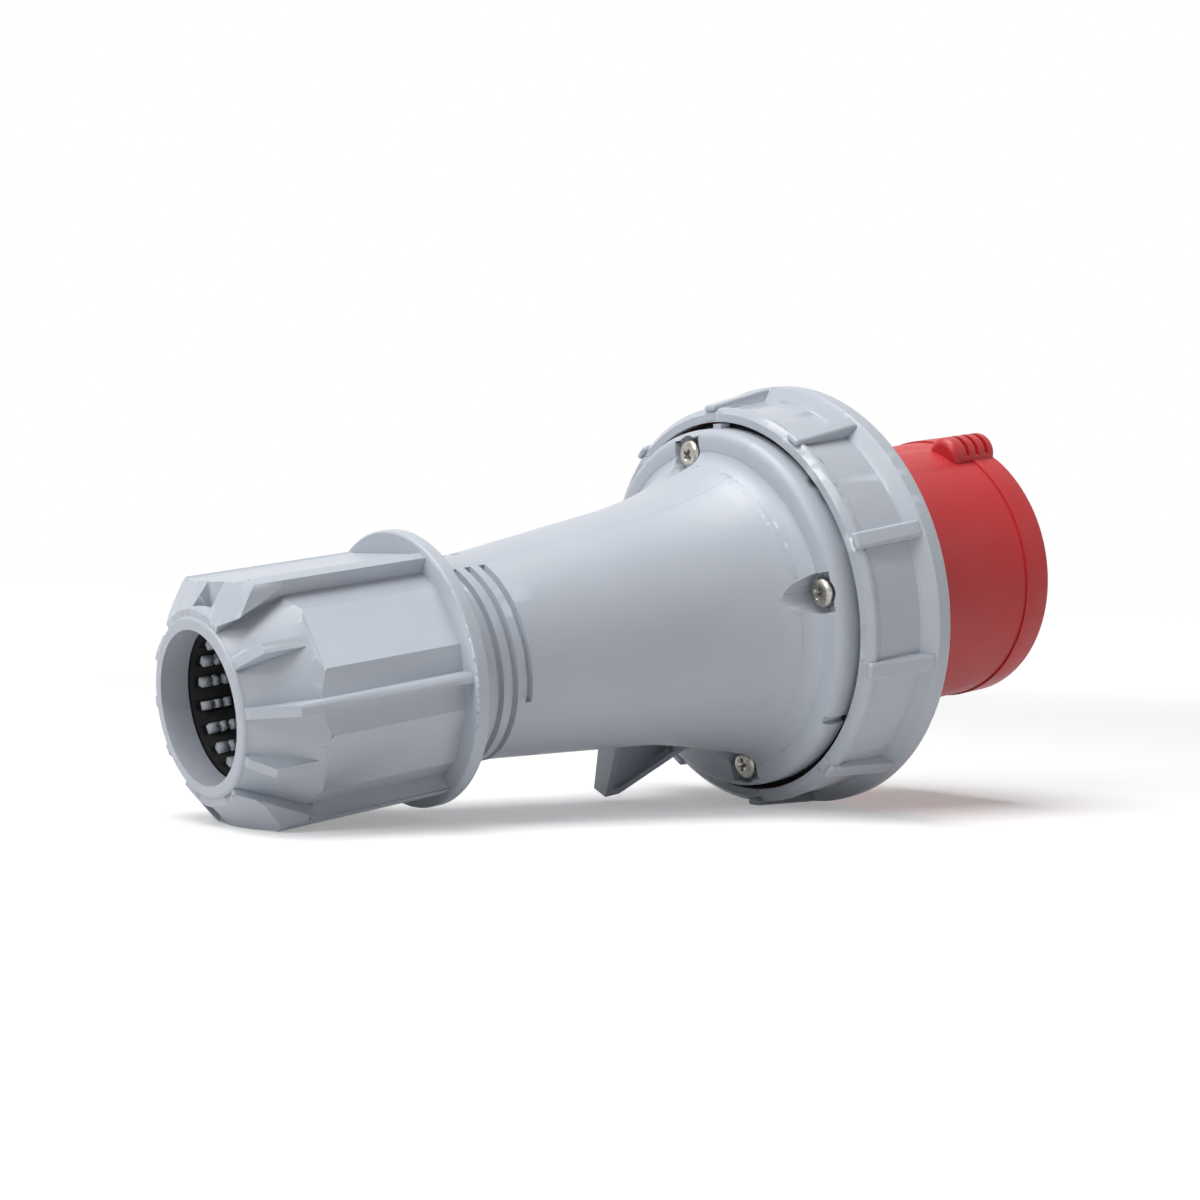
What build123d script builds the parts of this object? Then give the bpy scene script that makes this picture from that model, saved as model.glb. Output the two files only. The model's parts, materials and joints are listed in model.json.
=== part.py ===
from build123d import *
import os
from math import atan2, cos, degrees, hypot, radians, sin

# Industrial power plug, 3P+N+E with pilot, 63 A size, lying as it rests on a table.
# Every piece is modelled about the plug's own axis: Z runs from the cable mouth to the pins,
# X points to the key, and stations along Z are measured from the mouth of the gland nut.
# The finished pieces are then laid down by one tilt and one roll, so that a grip pad of the nut
# and the front rim of the locking ring touch the table.

# Clearances
FREE_GAP = 0.3          # between pieces of different bodies
SLIDE_GAP = 0.2         # between pieces that only slot together
PIN_FIT = 0.05          # radial fit of the contact pins in their carrier

# Gland nut
NUT_LENGTH = 55.6
MOUTH_BORE_R = 17.4
MOUTH_RING_R = 20.3
MOUTH_LAND = 1.5
MOUTH_ROUND = 0.9
LEAD_IN = 6.8
NUT_SHOULDER_R = 19.6
NUT_SIDES = 12
NUT_FLAT_R = 27.3
NUT_CONE_END = 17.5
NUT_BORE_R = 25.2
NUT_BORE_START = 18.5
NUT_RIM_R = 32.6
NUT_RIM_LENGTH = 3.6
NUT_RIM_EDGE = 0.7
RIB_TOP_R = 31.3
RIB_FRONT_R = 20.9
RIB_FRONT_SLOPE = 1.27
RIB_WIDTH = 2.4
RIB_FILLET = 1.5
SHORT_RIB_R = 27.1
SHORT_RIB_END = 16.0
NUT_PHASE = 7.4
PAD_ANGLE = 30.0        # of the two grip pads, back from the nut's first rib
GRIP_RECESS_WIDTH = 4.6
GRIP_RECESS_LENGTH = 5.4
GRIP_RECESS_START = 2.0
GRIP_RECESS_DEPTH = 1.6
GRIP_RECESS_SKEW = 1.3

# Cable clamp inside the nut
SEAL_INNER_R = 16.0
SEAL_WALL = 1.5
SEAL_LIP_R = 18.9
SEAL_LIP_LENGTH = 1.3
SEAL_BUNG_R = 19.8
SEAL_BUNG_LENGTH = 7.0
FINGER_COUNT = 18
FINGER_WIDTH = 3.2
FINGER_THICKNESS = 2.0
CAGE_FRONT = 8.8
CAGE_COLLAR_START = 27.0
CAGE_COLLAR_LENGTH = 4.0
TOOTH_INNER_R = 14.6
TOOTH_WIDTH = 1.9
TOOTH_STARTS = (8.9, 12.0, 14.5)
TOOTH_LENGTHS = (2.5, 1.4, 1.4)
SLIP_RING_START = 12.6
SLIP_RING_LENGTH = 3.2

# Housing
SPIGOT_START = 26.5
SPIGOT_BORE_R = 20.6
SPIGOT_BORE_TAPER = 4.0
SPIGOT_BORE_LENGTH = 23.5
THREAD_CREST_R = 24.7
THREAD_DEPTH = 1.4
THREAD_PITCH = 4.0
THREAD_START = 30.8
THREAD_TURNS = 10.25
GROOVE_CREST_WIDTH = 1.8
GROOVE_ROOT_WIDTH = 1.1
THREAD_GAP_WIDTH = 9.5
THREAD_GAP_ANGLE = -8.0
CONE_LENGTH = 44.0
CONE_SLOPE = 0.1114
THROAT_STEP = 0.6       # the throat's wall is this much thicker than the chamber's
FLARE_LENGTH = 28.0
FLARE_RISE = 3.7        # beyond the cone's own slope
COVE_LENGTH = 4.5
COVE_R = 7.0
RIDGE_STEP = 0.5
SHELF = 148.5
SHELF_INNER_R = 40.6
FLANGE_R = 46.2
FLANGE_THICKNESS = 7.0
FLANGE_ROUND = 4.0
HOUSING_WALL = 3.0
FLANGE_NOTCH_ANGLE = 103.0
FLANGE_NOTCH_WIDTH = 2.2
FLANGE_NOTCH_DEPTH = 1.2
FLANGE_LUG_ANGLE = -19.5
FLANGE_LUG_WIDTH = 3.0
FLANGE_LUG_HEIGHT = 1.1

# Foot under the housing
FOOT_ANGLE = 180.0
FOOT_FRONT = 29.2       # from the shelf back to the front plate
FOOT_REACH = 47.5
FOOT_TIP_LENGTH = 4.5
FOOT_SLOPE = 0.476
FOOT_TIP_WIDTH = 5.0
FOOT_ROOT_WIDTH = 7.4
FOOT_WEB = 1.8
FOOT_PLATE = 1.8
FOOT_WINDOW_END = 9.5   # from the shelf
FOOT_WINDOW_RISE = 1.2  # from the cone

# Flange screws
SCREW_COUNT = 4
SCREW_CIRCLE_R = 40.3
SCREW_PHASE = 60.0
SCREW_R = 2.0
SCREW_HEAD_R = 3.9
SCREW_HEAD_HEIGHT = 2.6
SCREW_HEAD_ROUND = 1.6
SCREW_ENGAGEMENT = 3.0
CROSS_WIDTH = 1.0
CROSS_LENGTH = 4.4
CROSS_DEPTH = 1.5
POCKET_R = 4.9
POCKET_DEPTH = 2.2
POCKET_WALL_R = 44.5

# Red contact shroud
FLANGE_GASKET_THICKNESS = 1.5
FLANGE_GASKET_INNER_R = 34.1
SHROUD_FLANGE_R = 49.0
SHROUD_FLANGE_THICKNESS = 4.0
SHROUD_END = 235.0
SHROUD_R = 35.0
SHROUD_BAND_R = 35.5
SHROUD_BAND_LENGTH = 8.5
SHROUD_END_ROUND = 0.8
SHROUD_BORE_R = 32.4
KEY_ANGLE = 2.0
KEY_SET_BACK = 0.4
KEY_CAP_LENGTH = 4.4
KEY_FIN_COUNT = 3
KEY_FIN_LENGTH = 2.3
KEY_HALF_WIDTH = 5.2
KEY_HEIGHT = 4.6
KEY_REAR_ROUND = 2.2
KEY_FRONT_ROUND = 0.8
KEY_SLOT_WIDTH = 1.3
KEY_SLOT_DEPTH = 3.4

# Pin carrier and contacts
CARRIER_FRONT = 181.0
RETAINER_THICKNESS = 4.0
RETAINER_R = 30.0
COLLAR_R = 6.6
COLLAR_LENGTH = 3.0
PIN_CIRCLE_R = 21.75
PIN_COUNT = 5
PHASE_PIN_R = 4.0
EARTH_PIN_R = 5.0
PILOT_PIN_R = 3.0
PHASE_PIN_END = 228.0
EARTH_PIN_END = 230.0
PILOT_PIN_END = 216.0
PIN_TIP_ROUND = 1.6
PIN_SHOULDER = 0.6      # the shank in the carrier is this much wider than the contact
COLLAR_STEP = 2.0
TERMINAL_R = 6.2
TERMINAL_LENGTH = 19.0
PILOT_TERMINAL_R = 4.2
WIRE_HOLE_R = 3.6
PILOT_WIRE_HOLE_R = 2.0
WIRE_HOLE_DEPTH = 14.0
TERMINAL_SCREW_R = 2.5
TERMINAL_SCREW_STAND = 1.6
PILOT_SCREW_R = 1.5
RETAINER_SCREW_COUNT = 5
RETAINER_SCREW_CIRCLE_R = 21.75
RETAINER_SCREW_R = 1.5
RETAINER_SCREW_HEAD_R = 2.8
RETAINER_SCREW_HEAD_HEIGHT = 1.8
RETAINER_SCREW_DEPTH = 8.0

# Locking ring
RING_REAR = 153.8
RING_LENGTH = 24.3
RING_REAR_OVERLAP = 1.2
RING_FRONT_OVERLAP = 2.2
RING_WALL = 1.6
RING_REAR_WALL = 1.3
RING_LIP_BAND = 3.0
RING_LIP_RISE = 0.5
RING_LIP_EDGE = 0.8
RING_LIP_BLEND = 0.6
RING_PANEL_RISE = 0.7
RING_RIM_RISE = 4.0
RING_RIM_LENGTH = 7.0
RING_RIM_SLOPE = 3.0
RING_RIM_EDGE = 1.2
RING_FRONT_LIP_LENGTH = 5.5
RING_BAR_COUNT = 10
RING_BAR_WIDTH = 4.2
RING_BAR_REAR_RISE = 0.6
RING_BAR_FRONT_RISE = 3.4
RING_BAR_OVERHANG = 1.5
RING_BAR_INSET = 0.4
RING_BAR_ROUND = 1.2
RING_PHASE = 11.7
BAYONET_COUNT = 3
BAYONET_ENTRY_ANGLE = 24.0
BAYONET_PHASE = 30.0
FACE_GASKET_INNER_R = 36.0
FACE_GASKET_OUTER_R = 45.0
FACE_GASKET_THICKNESS = 3.0

# Places that follow from the sizes above
FLANGE_FRONT = SHELF + FLANGE_THICKNESS
CONE_END = SHELF - COVE_LENGTH
CONE_MIDDLE = CONE_END - FLARE_LENGTH
CONE_START = CONE_MIDDLE - CONE_LENGTH
CONE_MIDDLE_R = THREAD_CREST_R + CONE_SLOPE * CONE_LENGTH
CONE_END_R = CONE_MIDDLE_R + CONE_SLOPE * FLARE_LENGTH + FLARE_RISE
SHROUD_FLANGE_REAR = FLANGE_FRONT + FLANGE_GASKET_THICKNESS
SHROUD_FLANGE_FRONT = SHROUD_FLANGE_REAR + SHROUD_FLANGE_THICKNESS
CARRIER_REAR = SHROUD_FLANGE_REAR
RETAINER_REAR = CARRIER_REAR - RETAINER_THICKNESS
RING_FRONT = RING_REAR + RING_LENGTH
RING_RIM_START = RING_FRONT - RING_RIM_LENGTH
NUT_RIM_START = NUT_LENGTH - NUT_RIM_LENGTH
SEAL_FRONT = LEAD_IN + FREE_GAP
SEAL_OUTER_R = SEAL_INNER_R + SEAL_WALL
CAGE_INNER_R = SEAL_OUTER_R + FREE_GAP
CAGE_OUTER_R = CAGE_INNER_R + FINGER_THICKNESS
CAGE_END = CAGE_COLLAR_START + CAGE_COLLAR_LENGTH
SEAL_BUNG_START = CAGE_END + FREE_GAP
SEAL_END = SEAL_BUNG_START + SEAL_BUNG_LENGTH
RIB_SHOULDER = (RIB_TOP_R - RIB_FRONT_R) / RIB_FRONT_SLOPE
RING_BORE_R = SHROUD_FLANGE_R + FREE_GAP
RING_LIP_R = SHROUD_FLANGE_R - RING_REAR_OVERLAP
RING_FRONT_LIP_R = SHROUD_FLANGE_R - RING_FRONT_OVERLAP
RING_PANEL_R = RING_BORE_R + RING_WALL
RING_RIM_R = RING_PANEL_R + RING_RIM_RISE
KEY_LENGTH = KEY_CAP_LENGTH + KEY_FIN_COUNT * (KEY_FIN_LENGTH + KEY_SLOT_WIDTH)
KEY_START = SHROUD_END - KEY_SET_BACK - KEY_LENGTH
FOOT_START = SHELF - FOOT_FRONT
FOOT_TIP_END = FOOT_START + FOOT_TIP_LENGTH

# The table touches the front edge of a grip pad and the locking ring's front rim
PAD_EDGE = (NUT_FLAT_R - RIB_FRONT_R) / RIB_FRONT_SLOPE
TILT = atan2(RING_RIM_R - NUT_FLAT_R, RING_RIM_START - PAD_EDGE)
ROLL = PAD_ANGLE - NUT_PHASE
REST_DROP = NUT_FLAT_R * cos(TILT) - PAD_EDGE * sin(TILT)
REAR_REACH = MOUTH_ROUND * (cos(TILT) - 1) - (MOUTH_RING_R - MOUTH_ROUND) * sin(TILT)
FRONT_REACH = (
    SHROUD_END_ROUND
    + (SHROUD_END - SHROUD_END_ROUND) * cos(TILT)
    + (SHROUD_BAND_R - SHROUD_END_ROUND) * sin(TILT)
)
MIDDLE = (REAR_REACH + FRONT_REACH) / 2
REST = Plane(
    origin=(-MIDDLE, 0, REST_DROP),
    x_dir=(-sin(TILT), 0, cos(TILT)),
    z_dir=(cos(TILT), 0, sin(TILT)),
)


def cone_radius(station):
    """Outer radius of the cone and of its flare at a station."""
    radius = THREAD_CREST_R + CONE_SLOPE * (station - CONE_START)
    share = max(0.0, station - CONE_MIDDLE) / FLARE_LENGTH
    return radius + FLARE_RISE * share ** 2


def turned(points):
    """Solid of revolution about the axis from (radius, station) corners."""
    with BuildPart() as part:
        with BuildSketch(Plane.XZ):
            with BuildLine():
                Polyline(*points, close=True)
            make_face()
        revolve(axis=Axis.Z)
    return part.part


def tube(outer_r, inner_r, start, end):
    """Plain ring between two stations."""
    return turned([(inner_r, start), (outer_r, start), (outer_r, end), (inner_r, end)])


def rod(radius, start, end, x=0.0, y=0.0):
    """Round bar parallel to the axis."""
    height = end - start
    align = (Align.CENTER, Align.CENTER, Align.MIN)
    return Pos(x, y, start) * Cylinder(radius, height, align=align)


def block(x_low, x_high, width, start, end):
    """Box on the X side of the axis, centred across it."""
    size = (x_high - x_low, width, end - start)
    align = (Align.MIN, Align.CENTER, Align.MIN)
    return Pos(x_low, 0, start) * Box(*size, align=align)


def plate(points, width):
    """Flat plate in the XZ plane from (radius, station) corners, centred across the plane."""
    with BuildPart() as part:
        with BuildSketch(Plane.XZ):
            with BuildLine():
                Polyline(*points, close=True)
            make_face()
        extrude(amount=width / 2, both=True)
    return part.part


def prism(outline, start, end):
    """Straight solid along the axis from an outline across it."""
    return Pos(0, 0, start) * extrude(outline, end - start, dir=(0, 0, 1))


def spun(shape, count, phase=0.0):
    """Copies of a shape spread evenly round the axis."""
    return [Rot(0, 0, phase + index * 360 / count) * shape for index in range(count)]


def around(shape, angles):
    """Copies of a shape at given angles round the axis."""
    return [Rot(0, 0, angle) * shape for angle in angles]


def polar(radius, angle):
    """X and Y of a point at a radius and an angle from the key."""
    return radius * cos(radians(angle)), radius * sin(radians(angle))


def rounded_edges(solid, station, radius, size):
    """Fillet the circular edges at one station and radius."""
    edges = [
        edge
        for edge in solid.edges().filter_by(GeomType.CIRCLE)
        if abs(edge.center().Z - station) < 0.01 and abs(edge.radius - radius) < 0.01
    ]
    return fillet(edges, size)


def gland_nut():
    """Compression nut: a twelve-sided tapered cap with ribs, two grip pads and a rear rim."""
    phase = NUT_PHASE
    cone_end_r = NUT_FLAT_R / cos(radians(180 / NUT_SIDES))
    sides = prism(RegularPolygon(NUT_FLAT_R, NUT_SIDES, major_radius=False), 0, NUT_LENGTH)
    cap = turned([
        (0, 0), (MOUTH_RING_R, 0), (MOUTH_RING_R, MOUTH_LAND), (cone_end_r, NUT_CONE_END),
        (cone_end_r + 1, NUT_CONE_END), (cone_end_r + 1, NUT_LENGTH), (0, NUT_LENGTH),
    ])
    cap = rounded_edges(cap, 0, MOUTH_RING_R, MOUTH_ROUND)
    body = Rot(0, 0, phase + 180 / NUT_SIDES) * sides & cap
    envelope = turned([
        (0, 0), (RIB_FRONT_R, 0), (RIB_TOP_R, RIB_SHOULDER), (RIB_TOP_R, NUT_LENGTH), (0, NUT_LENGTH),
    ])
    wall_r = (NUT_BORE_R + NUT_FLAT_R) / 2
    long_rib = plate(
        [(MOUTH_BORE_R + 1, MOUTH_LAND / 2), (RIB_TOP_R, MOUTH_LAND / 2), (RIB_TOP_R, NUT_RIM_START + 1),
         (wall_r, NUT_RIM_START + 1), (wall_r, NUT_CONE_END)],
        RIB_WIDTH,
    )
    short_rib = plate(
        [(MOUTH_BORE_R + 1, MOUTH_LAND / 2), (SHORT_RIB_R, MOUTH_LAND / 2), (SHORT_RIB_R, SHORT_RIB_END),
         (wall_r, SHORT_RIB_END)],
        RIB_WIDTH,
    )
    half_step = 180 / (NUT_SIDES / 2)
    pad_half = RIB_TOP_R * sin(radians(half_step)) + RIB_WIDTH / 2 * cos(radians(half_step))
    pad = plate(
        [(MOUTH_BORE_R + 1, MOUTH_LAND / 2), (NUT_FLAT_R, MOUTH_LAND / 2), (NUT_FLAT_R, NUT_RIM_START + 1),
         (wall_r, NUT_RIM_START + 1), (wall_r, NUT_CONE_END)],
        2 * pad_half,
    )
    recess_r = RIB_FRONT_R + GRIP_RECESS_START * RIB_FRONT_SLOPE - GRIP_RECESS_DEPTH
    recess_end = GRIP_RECESS_START + GRIP_RECESS_LENGTH
    recess = plate(
        [(recess_r, GRIP_RECESS_START), (RIB_TOP_R + 1, GRIP_RECESS_START),
         (RIB_TOP_R + 1, recess_end + GRIP_RECESS_SKEW), (NUT_FLAT_R - GRIP_RECESS_DEPTH, recess_end)],
        GRIP_RECESS_WIDTH,
    )
    recess = recess & leaning_bar(GRIP_RECESS_START, recess_end)
    long_angles = [phase + index * 60 for index in range(6)]
    short_angles = [phase + 30 + index * 60 for index in (0, 1, 3, 4)]
    pad_angles = [phase - PAD_ANGLE, phase - PAD_ANGLE + 180]
    raised = Part() + around(long_rib, long_angles) + around(short_rib, short_angles)
    raised += around(rib_foot(wall_r), long_angles)
    raised += around(pad, pad_angles)
    raised = raised & envelope
    rim = tube(NUT_RIM_R, wall_r, NUT_RIM_START, NUT_LENGTH)
    rim = rounded_edges(rim, NUT_RIM_START, NUT_RIM_R, NUT_RIM_EDGE)
    rim = rounded_edges(rim, NUT_LENGTH, NUT_RIM_R, NUT_RIM_EDGE)
    bore = turned([
        (0, -1), (MOUTH_BORE_R, -1), (MOUTH_BORE_R, LEAD_IN), (NUT_SHOULDER_R, LEAD_IN),
        (NUT_BORE_R, NUT_BORE_START), (NUT_BORE_R, NUT_LENGTH + 1), (0, NUT_LENGTH + 1),
    ])
    return body + raised + rim - bore - around(recess, pad_angles)


def rib_foot(inner_r):
    """Hollow fillets on both sides of a long rib where it meets its flat."""
    half = RIB_WIDTH / 2
    with BuildSketch() as foot_sketch:
        Polygon(
            (inner_r, -half - RIB_FILLET), (NUT_FLAT_R, -half - RIB_FILLET),
            (NUT_FLAT_R + RIB_FILLET, -half), (NUT_FLAT_R + RIB_FILLET, half),
            (NUT_FLAT_R, half + RIB_FILLET), (inner_r, half + RIB_FILLET),
            align=None,
        )
        with Locations((NUT_FLAT_R + RIB_FILLET, half + RIB_FILLET),
                       (NUT_FLAT_R + RIB_FILLET, -half - RIB_FILLET)):
            Circle(RIB_FILLET, mode=Mode.SUBTRACT)
    return prism(foot_sketch.sketch, NUT_CONE_END, NUT_RIM_START + 1)


def leaning_bar(start, end):
    """Bar across the nut's wall whose two long sides lean, for the recess in a grip pad."""
    half = GRIP_RECESS_WIDTH / 2
    outline = Plane.YZ * Polygon(
        (-half, start), (half, start + GRIP_RECESS_SKEW), (half, end + GRIP_RECESS_SKEW), (-half, end),
        align=None,
    )
    return extrude(outline, RIB_TOP_R + 1, dir=(1, 0, 0))


def nut_bore_radius(station):
    """Inner radius of the nut's tapered stretch."""
    share = (station - LEAD_IN) / (NUT_BORE_START - LEAD_IN)
    return NUT_SHOULDER_R + share * (NUT_BORE_R - NUT_SHOULDER_R)


def slip_ring():
    """Tapered thrust ring between the nut's cone and the clamp cage."""
    end = SLIP_RING_START + SLIP_RING_LENGTH
    inner_r = CAGE_OUTER_R + FREE_GAP
    return turned([
        (inner_r, SLIP_RING_START), (nut_bore_radius(SLIP_RING_START) - FREE_GAP, SLIP_RING_START),
        (nut_bore_radius(end) - FREE_GAP, end), (inner_r, end),
    ])


def tooth_boxes(margin):
    """Teeth of one clamp finger, grown by a margin on each side."""
    width = TOOTH_WIDTH + 2 * margin
    return [
        block(TOOTH_INNER_R, CAGE_INNER_R + 1, width, start - margin, start + length + margin)
        for start, length in zip(TOOTH_STARTS, TOOTH_LENGTHS)
    ]


def clamp_cage():
    """Clamp cage: eighteen fingers on a collar, each with three teeth that reach the cable."""
    collar = tube(CAGE_OUTER_R, CAGE_INNER_R, CAGE_COLLAR_START, CAGE_END)
    sleeve = tube(CAGE_OUTER_R, CAGE_INNER_R, CAGE_FRONT, CAGE_COLLAR_START + 1)
    bar = block(CAGE_INNER_R - 1, CAGE_OUTER_R + 1, FINGER_WIDTH, CAGE_FRONT, CAGE_COLLAR_START + 1)
    fingers = sleeve & (Part() + spun(bar, FINGER_COUNT))
    teeth = [Rot(0, 0, angle * 360 / FINGER_COUNT) * tooth
             for angle in range(FINGER_COUNT) for tooth in tooth_boxes(0)]
    return collar + fingers + teeth


def seal_sleeve():
    """Rubber sleeve with a front lip, a rear bung and a window for each clamp tooth."""
    sleeve = turned([
        (SEAL_INNER_R, SEAL_FRONT), (SEAL_LIP_R, SEAL_FRONT), (SEAL_LIP_R, SEAL_FRONT + SEAL_LIP_LENGTH),
        (SEAL_OUTER_R, SEAL_FRONT + SEAL_LIP_LENGTH), (SEAL_OUTER_R, SEAL_BUNG_START),
        (SEAL_BUNG_R, SEAL_BUNG_START), (SEAL_BUNG_R, SEAL_END), (SEAL_INNER_R, SEAL_END),
    ])
    windows = [Rot(0, 0, angle * 360 / FINGER_COUNT) * window
               for angle in range(FINGER_COUNT) for window in tooth_boxes(SLIDE_GAP)]
    return sleeve - windows


def thread_groove():
    """Helical groove between the thread's ridges, left out over two plain gaps."""
    root_r = THREAD_CREST_R - THREAD_DEPTH
    path = Pos(0, 0, THREAD_START) * Helix(THREAD_PITCH, THREAD_TURNS * THREAD_PITCH, root_r)
    outer_r = THREAD_CREST_R + THREAD_DEPTH
    outer_width = 2 * GROOVE_CREST_WIDTH - GROOVE_ROOT_WIDTH
    section = Plane.XZ * Polygon(
        (root_r, -GROOVE_ROOT_WIDTH / 2), (root_r, GROOVE_ROOT_WIDTH / 2),
        (outer_r, outer_width / 2), (outer_r, -outer_width / 2),
        align=None,
    )
    groove = sweep(Pos(0, 0, THREAD_START) * section, path=path, is_frenet=True)
    gap = Box(2 * outer_r + 2, THREAD_GAP_WIDTH, 2 * SHELF)
    return groove - Rot(0, 0, THREAD_GAP_ANGLE) * gap


def housing_body():
    """Spigot, cone and flange of the housing as one solid turned moulding."""
    with BuildPart() as part:
        with BuildSketch(Plane.XZ):
            with BuildLine():
                Line((0, SPIGOT_START), (THREAD_CREST_R, SPIGOT_START))
                Line((THREAD_CREST_R, SPIGOT_START), (THREAD_CREST_R, CONE_START))
                Line((THREAD_CREST_R, CONE_START), (CONE_MIDDLE_R, CONE_MIDDLE))
                flare = TangentArc((CONE_MIDDLE_R, CONE_MIDDLE), (CONE_END_R, CONE_END),
                                   tangent=(CONE_SLOPE, 1))
                Line(flare @ 1, (CONE_END_R + RIDGE_STEP, CONE_END))
                cove = RadiusArc((CONE_END_R + RIDGE_STEP, CONE_END), (SHELF_INNER_R, SHELF), COVE_R)
                Line(cove @ 1, (FLANGE_R, SHELF))
                Line((FLANGE_R, SHELF), (FLANGE_R, FLANGE_FRONT))
                Line((FLANGE_R, FLANGE_FRONT), (0, FLANGE_FRONT))
                Line((0, FLANGE_FRONT), (0, SPIGOT_START))
            make_face()
        revolve(axis=Axis.Z)
    return rounded_edges(part.part, SHELF, FLANGE_R, FLANGE_ROUND)


def wiring_space():
    """Bore of the spigot, throat and chamber of the housing, open at both ends."""
    throat_r = THREAD_CREST_R - HOUSING_WALL - THROAT_STEP
    bore_end = SPIGOT_START + SPIGOT_BORE_LENGTH
    flare = [(cone_radius(station) - HOUSING_WALL, station)
             for station in (CONE_MIDDLE, CONE_MIDDLE + FLARE_LENGTH / 2, CONE_END)]
    chamber_r = flare[-1][0]
    return turned([
        (0, SPIGOT_START - 1), (SPIGOT_BORE_R, SPIGOT_START - 1), (SPIGOT_BORE_R, bore_end),
        (throat_r, bore_end + SPIGOT_BORE_TAPER), (throat_r, CONE_START), *flare,
        (chamber_r, FLANGE_FRONT + 1), (0, FLANGE_FRONT + 1),
    ])


def foot_edge(station):
    """Outer radius of the foot's slanting edge at a station."""
    return FOOT_REACH - FOOT_SLOPE * (station - FOOT_TIP_END)


def foot():
    """Bracket under the cone: a thin web with a flange all round, wider at its root than at its tip."""
    root_r = THREAD_CREST_R - HOUSING_WALL
    blade = plate(
        [(root_r, FOOT_START), (FOOT_REACH, FOOT_START), (FOOT_REACH, FOOT_TIP_END),
         (foot_edge(SHELF), SHELF), (root_r, SHELF)],
        FOOT_ROOT_WIDTH,
    )
    sides = Polygon(
        (root_r, FOOT_ROOT_WIDTH / 2), (cone_radius(FOOT_START), FOOT_ROOT_WIDTH / 2),
        (FOOT_REACH, FOOT_TIP_WIDTH / 2), (FOOT_REACH, -FOOT_TIP_WIDTH / 2),
        (cone_radius(FOOT_START), -FOOT_ROOT_WIDTH / 2), (root_r, -FOOT_ROOT_WIDTH / 2),
        align=None,
    )
    blade = blade & prism(sides, FOOT_START, SHELF)
    slant_plate = FOOT_PLATE * hypot(1, FOOT_SLOPE)
    window_start = FOOT_START + FOOT_PLATE
    window_end = SHELF - FOOT_WINDOW_END
    window = plate(
        [(cone_radius(window_start) + FOOT_WINDOW_RISE, window_start),
         (FOOT_REACH - FOOT_PLATE, window_start), (FOOT_REACH - FOOT_PLATE, FOOT_TIP_END - FOOT_PLATE / 4),
         (foot_edge(window_end) - slant_plate, window_end),
         (cone_radius(window_end) + FOOT_WINDOW_RISE, window_end)],
        FOOT_ROOT_WIDTH,
    )
    web = block(0, FOOT_REACH, FOOT_WEB, FOOT_START, SHELF)
    return Rot(0, 0, FOOT_ANGLE) * (blade - (window - web))


def housing():
    """Cable-side housing with thread, cone, foot, flange and screw pockets."""
    lug = block(FLANGE_R - FLANGE_ROUND, FLANGE_R + FLANGE_LUG_HEIGHT, FLANGE_LUG_WIDTH,
                SHELF + FLANGE_ROUND, FLANGE_FRONT)
    body = housing_body() - thread_groove() + foot() + Rot(0, 0, FLANGE_LUG_ANGLE) * lug - wiring_space()
    floor = SHELF + POCKET_DEPTH
    pocket = rod(POCKET_R, SHELF - POCKET_R, floor, SCREW_CIRCLE_R)
    pocket += block(SCREW_CIRCLE_R, POCKET_WALL_R, 2 * POCKET_R, SHELF - POCKET_R, floor)
    pocket -= block(POCKET_WALL_R, FLANGE_R, 2 * POCKET_R, SHELF - POCKET_R, floor)
    hole = rod(SCREW_R + SLIDE_GAP, SHELF, FLANGE_FRONT + 1, SCREW_CIRCLE_R)
    body = body - spun(pocket, SCREW_COUNT, SCREW_PHASE) - spun(hole, SCREW_COUNT, SCREW_PHASE)
    notch = block(FLANGE_R - FLANGE_NOTCH_DEPTH, FLANGE_R + 1, FLANGE_NOTCH_WIDTH,
                  SHELF - 1, FLANGE_FRONT + 1)
    return body - Rot(0, 0, FLANGE_NOTCH_ANGLE) * notch


def flange_screw():
    """Cross-recessed pan-head screw, seated in its pocket."""
    seat = SHELF + POCKET_DEPTH
    head = rod(SCREW_HEAD_R, seat - SCREW_HEAD_HEIGHT, seat)
    head = rounded_edges(head, seat - SCREW_HEAD_HEIGHT, SCREW_HEAD_R, SCREW_HEAD_ROUND)
    shank = rod(SCREW_R, seat, SHROUD_FLANGE_REAR + SCREW_ENGAGEMENT)
    top = seat - SCREW_HEAD_HEIGHT
    slot = block(-CROSS_LENGTH / 2, CROSS_LENGTH / 2, CROSS_WIDTH, top - 1, top + CROSS_DEPTH)
    screw = head + shank - slot - Rot(0, 0, 90) * slot
    return Pos(SCREW_CIRCLE_R, 0, 0) * screw


def flange_screws():
    """The four flange screws."""
    return Compound(children=[solid for solid in spun(flange_screw(), SCREW_COUNT, SCREW_PHASE)])


def flange_gasket():
    """Rubber ring between the housing flange and the shroud flange."""
    ring = tube(RING_LIP_R - FREE_GAP, FLANGE_GASKET_INNER_R, FLANGE_FRONT, SHROUD_FLANGE_REAR)
    hole = rod(SCREW_R + SLIDE_GAP, FLANGE_FRONT, SHROUD_FLANGE_REAR, SCREW_CIRCLE_R)
    return ring - spun(hole, SCREW_COUNT, SCREW_PHASE)


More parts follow.
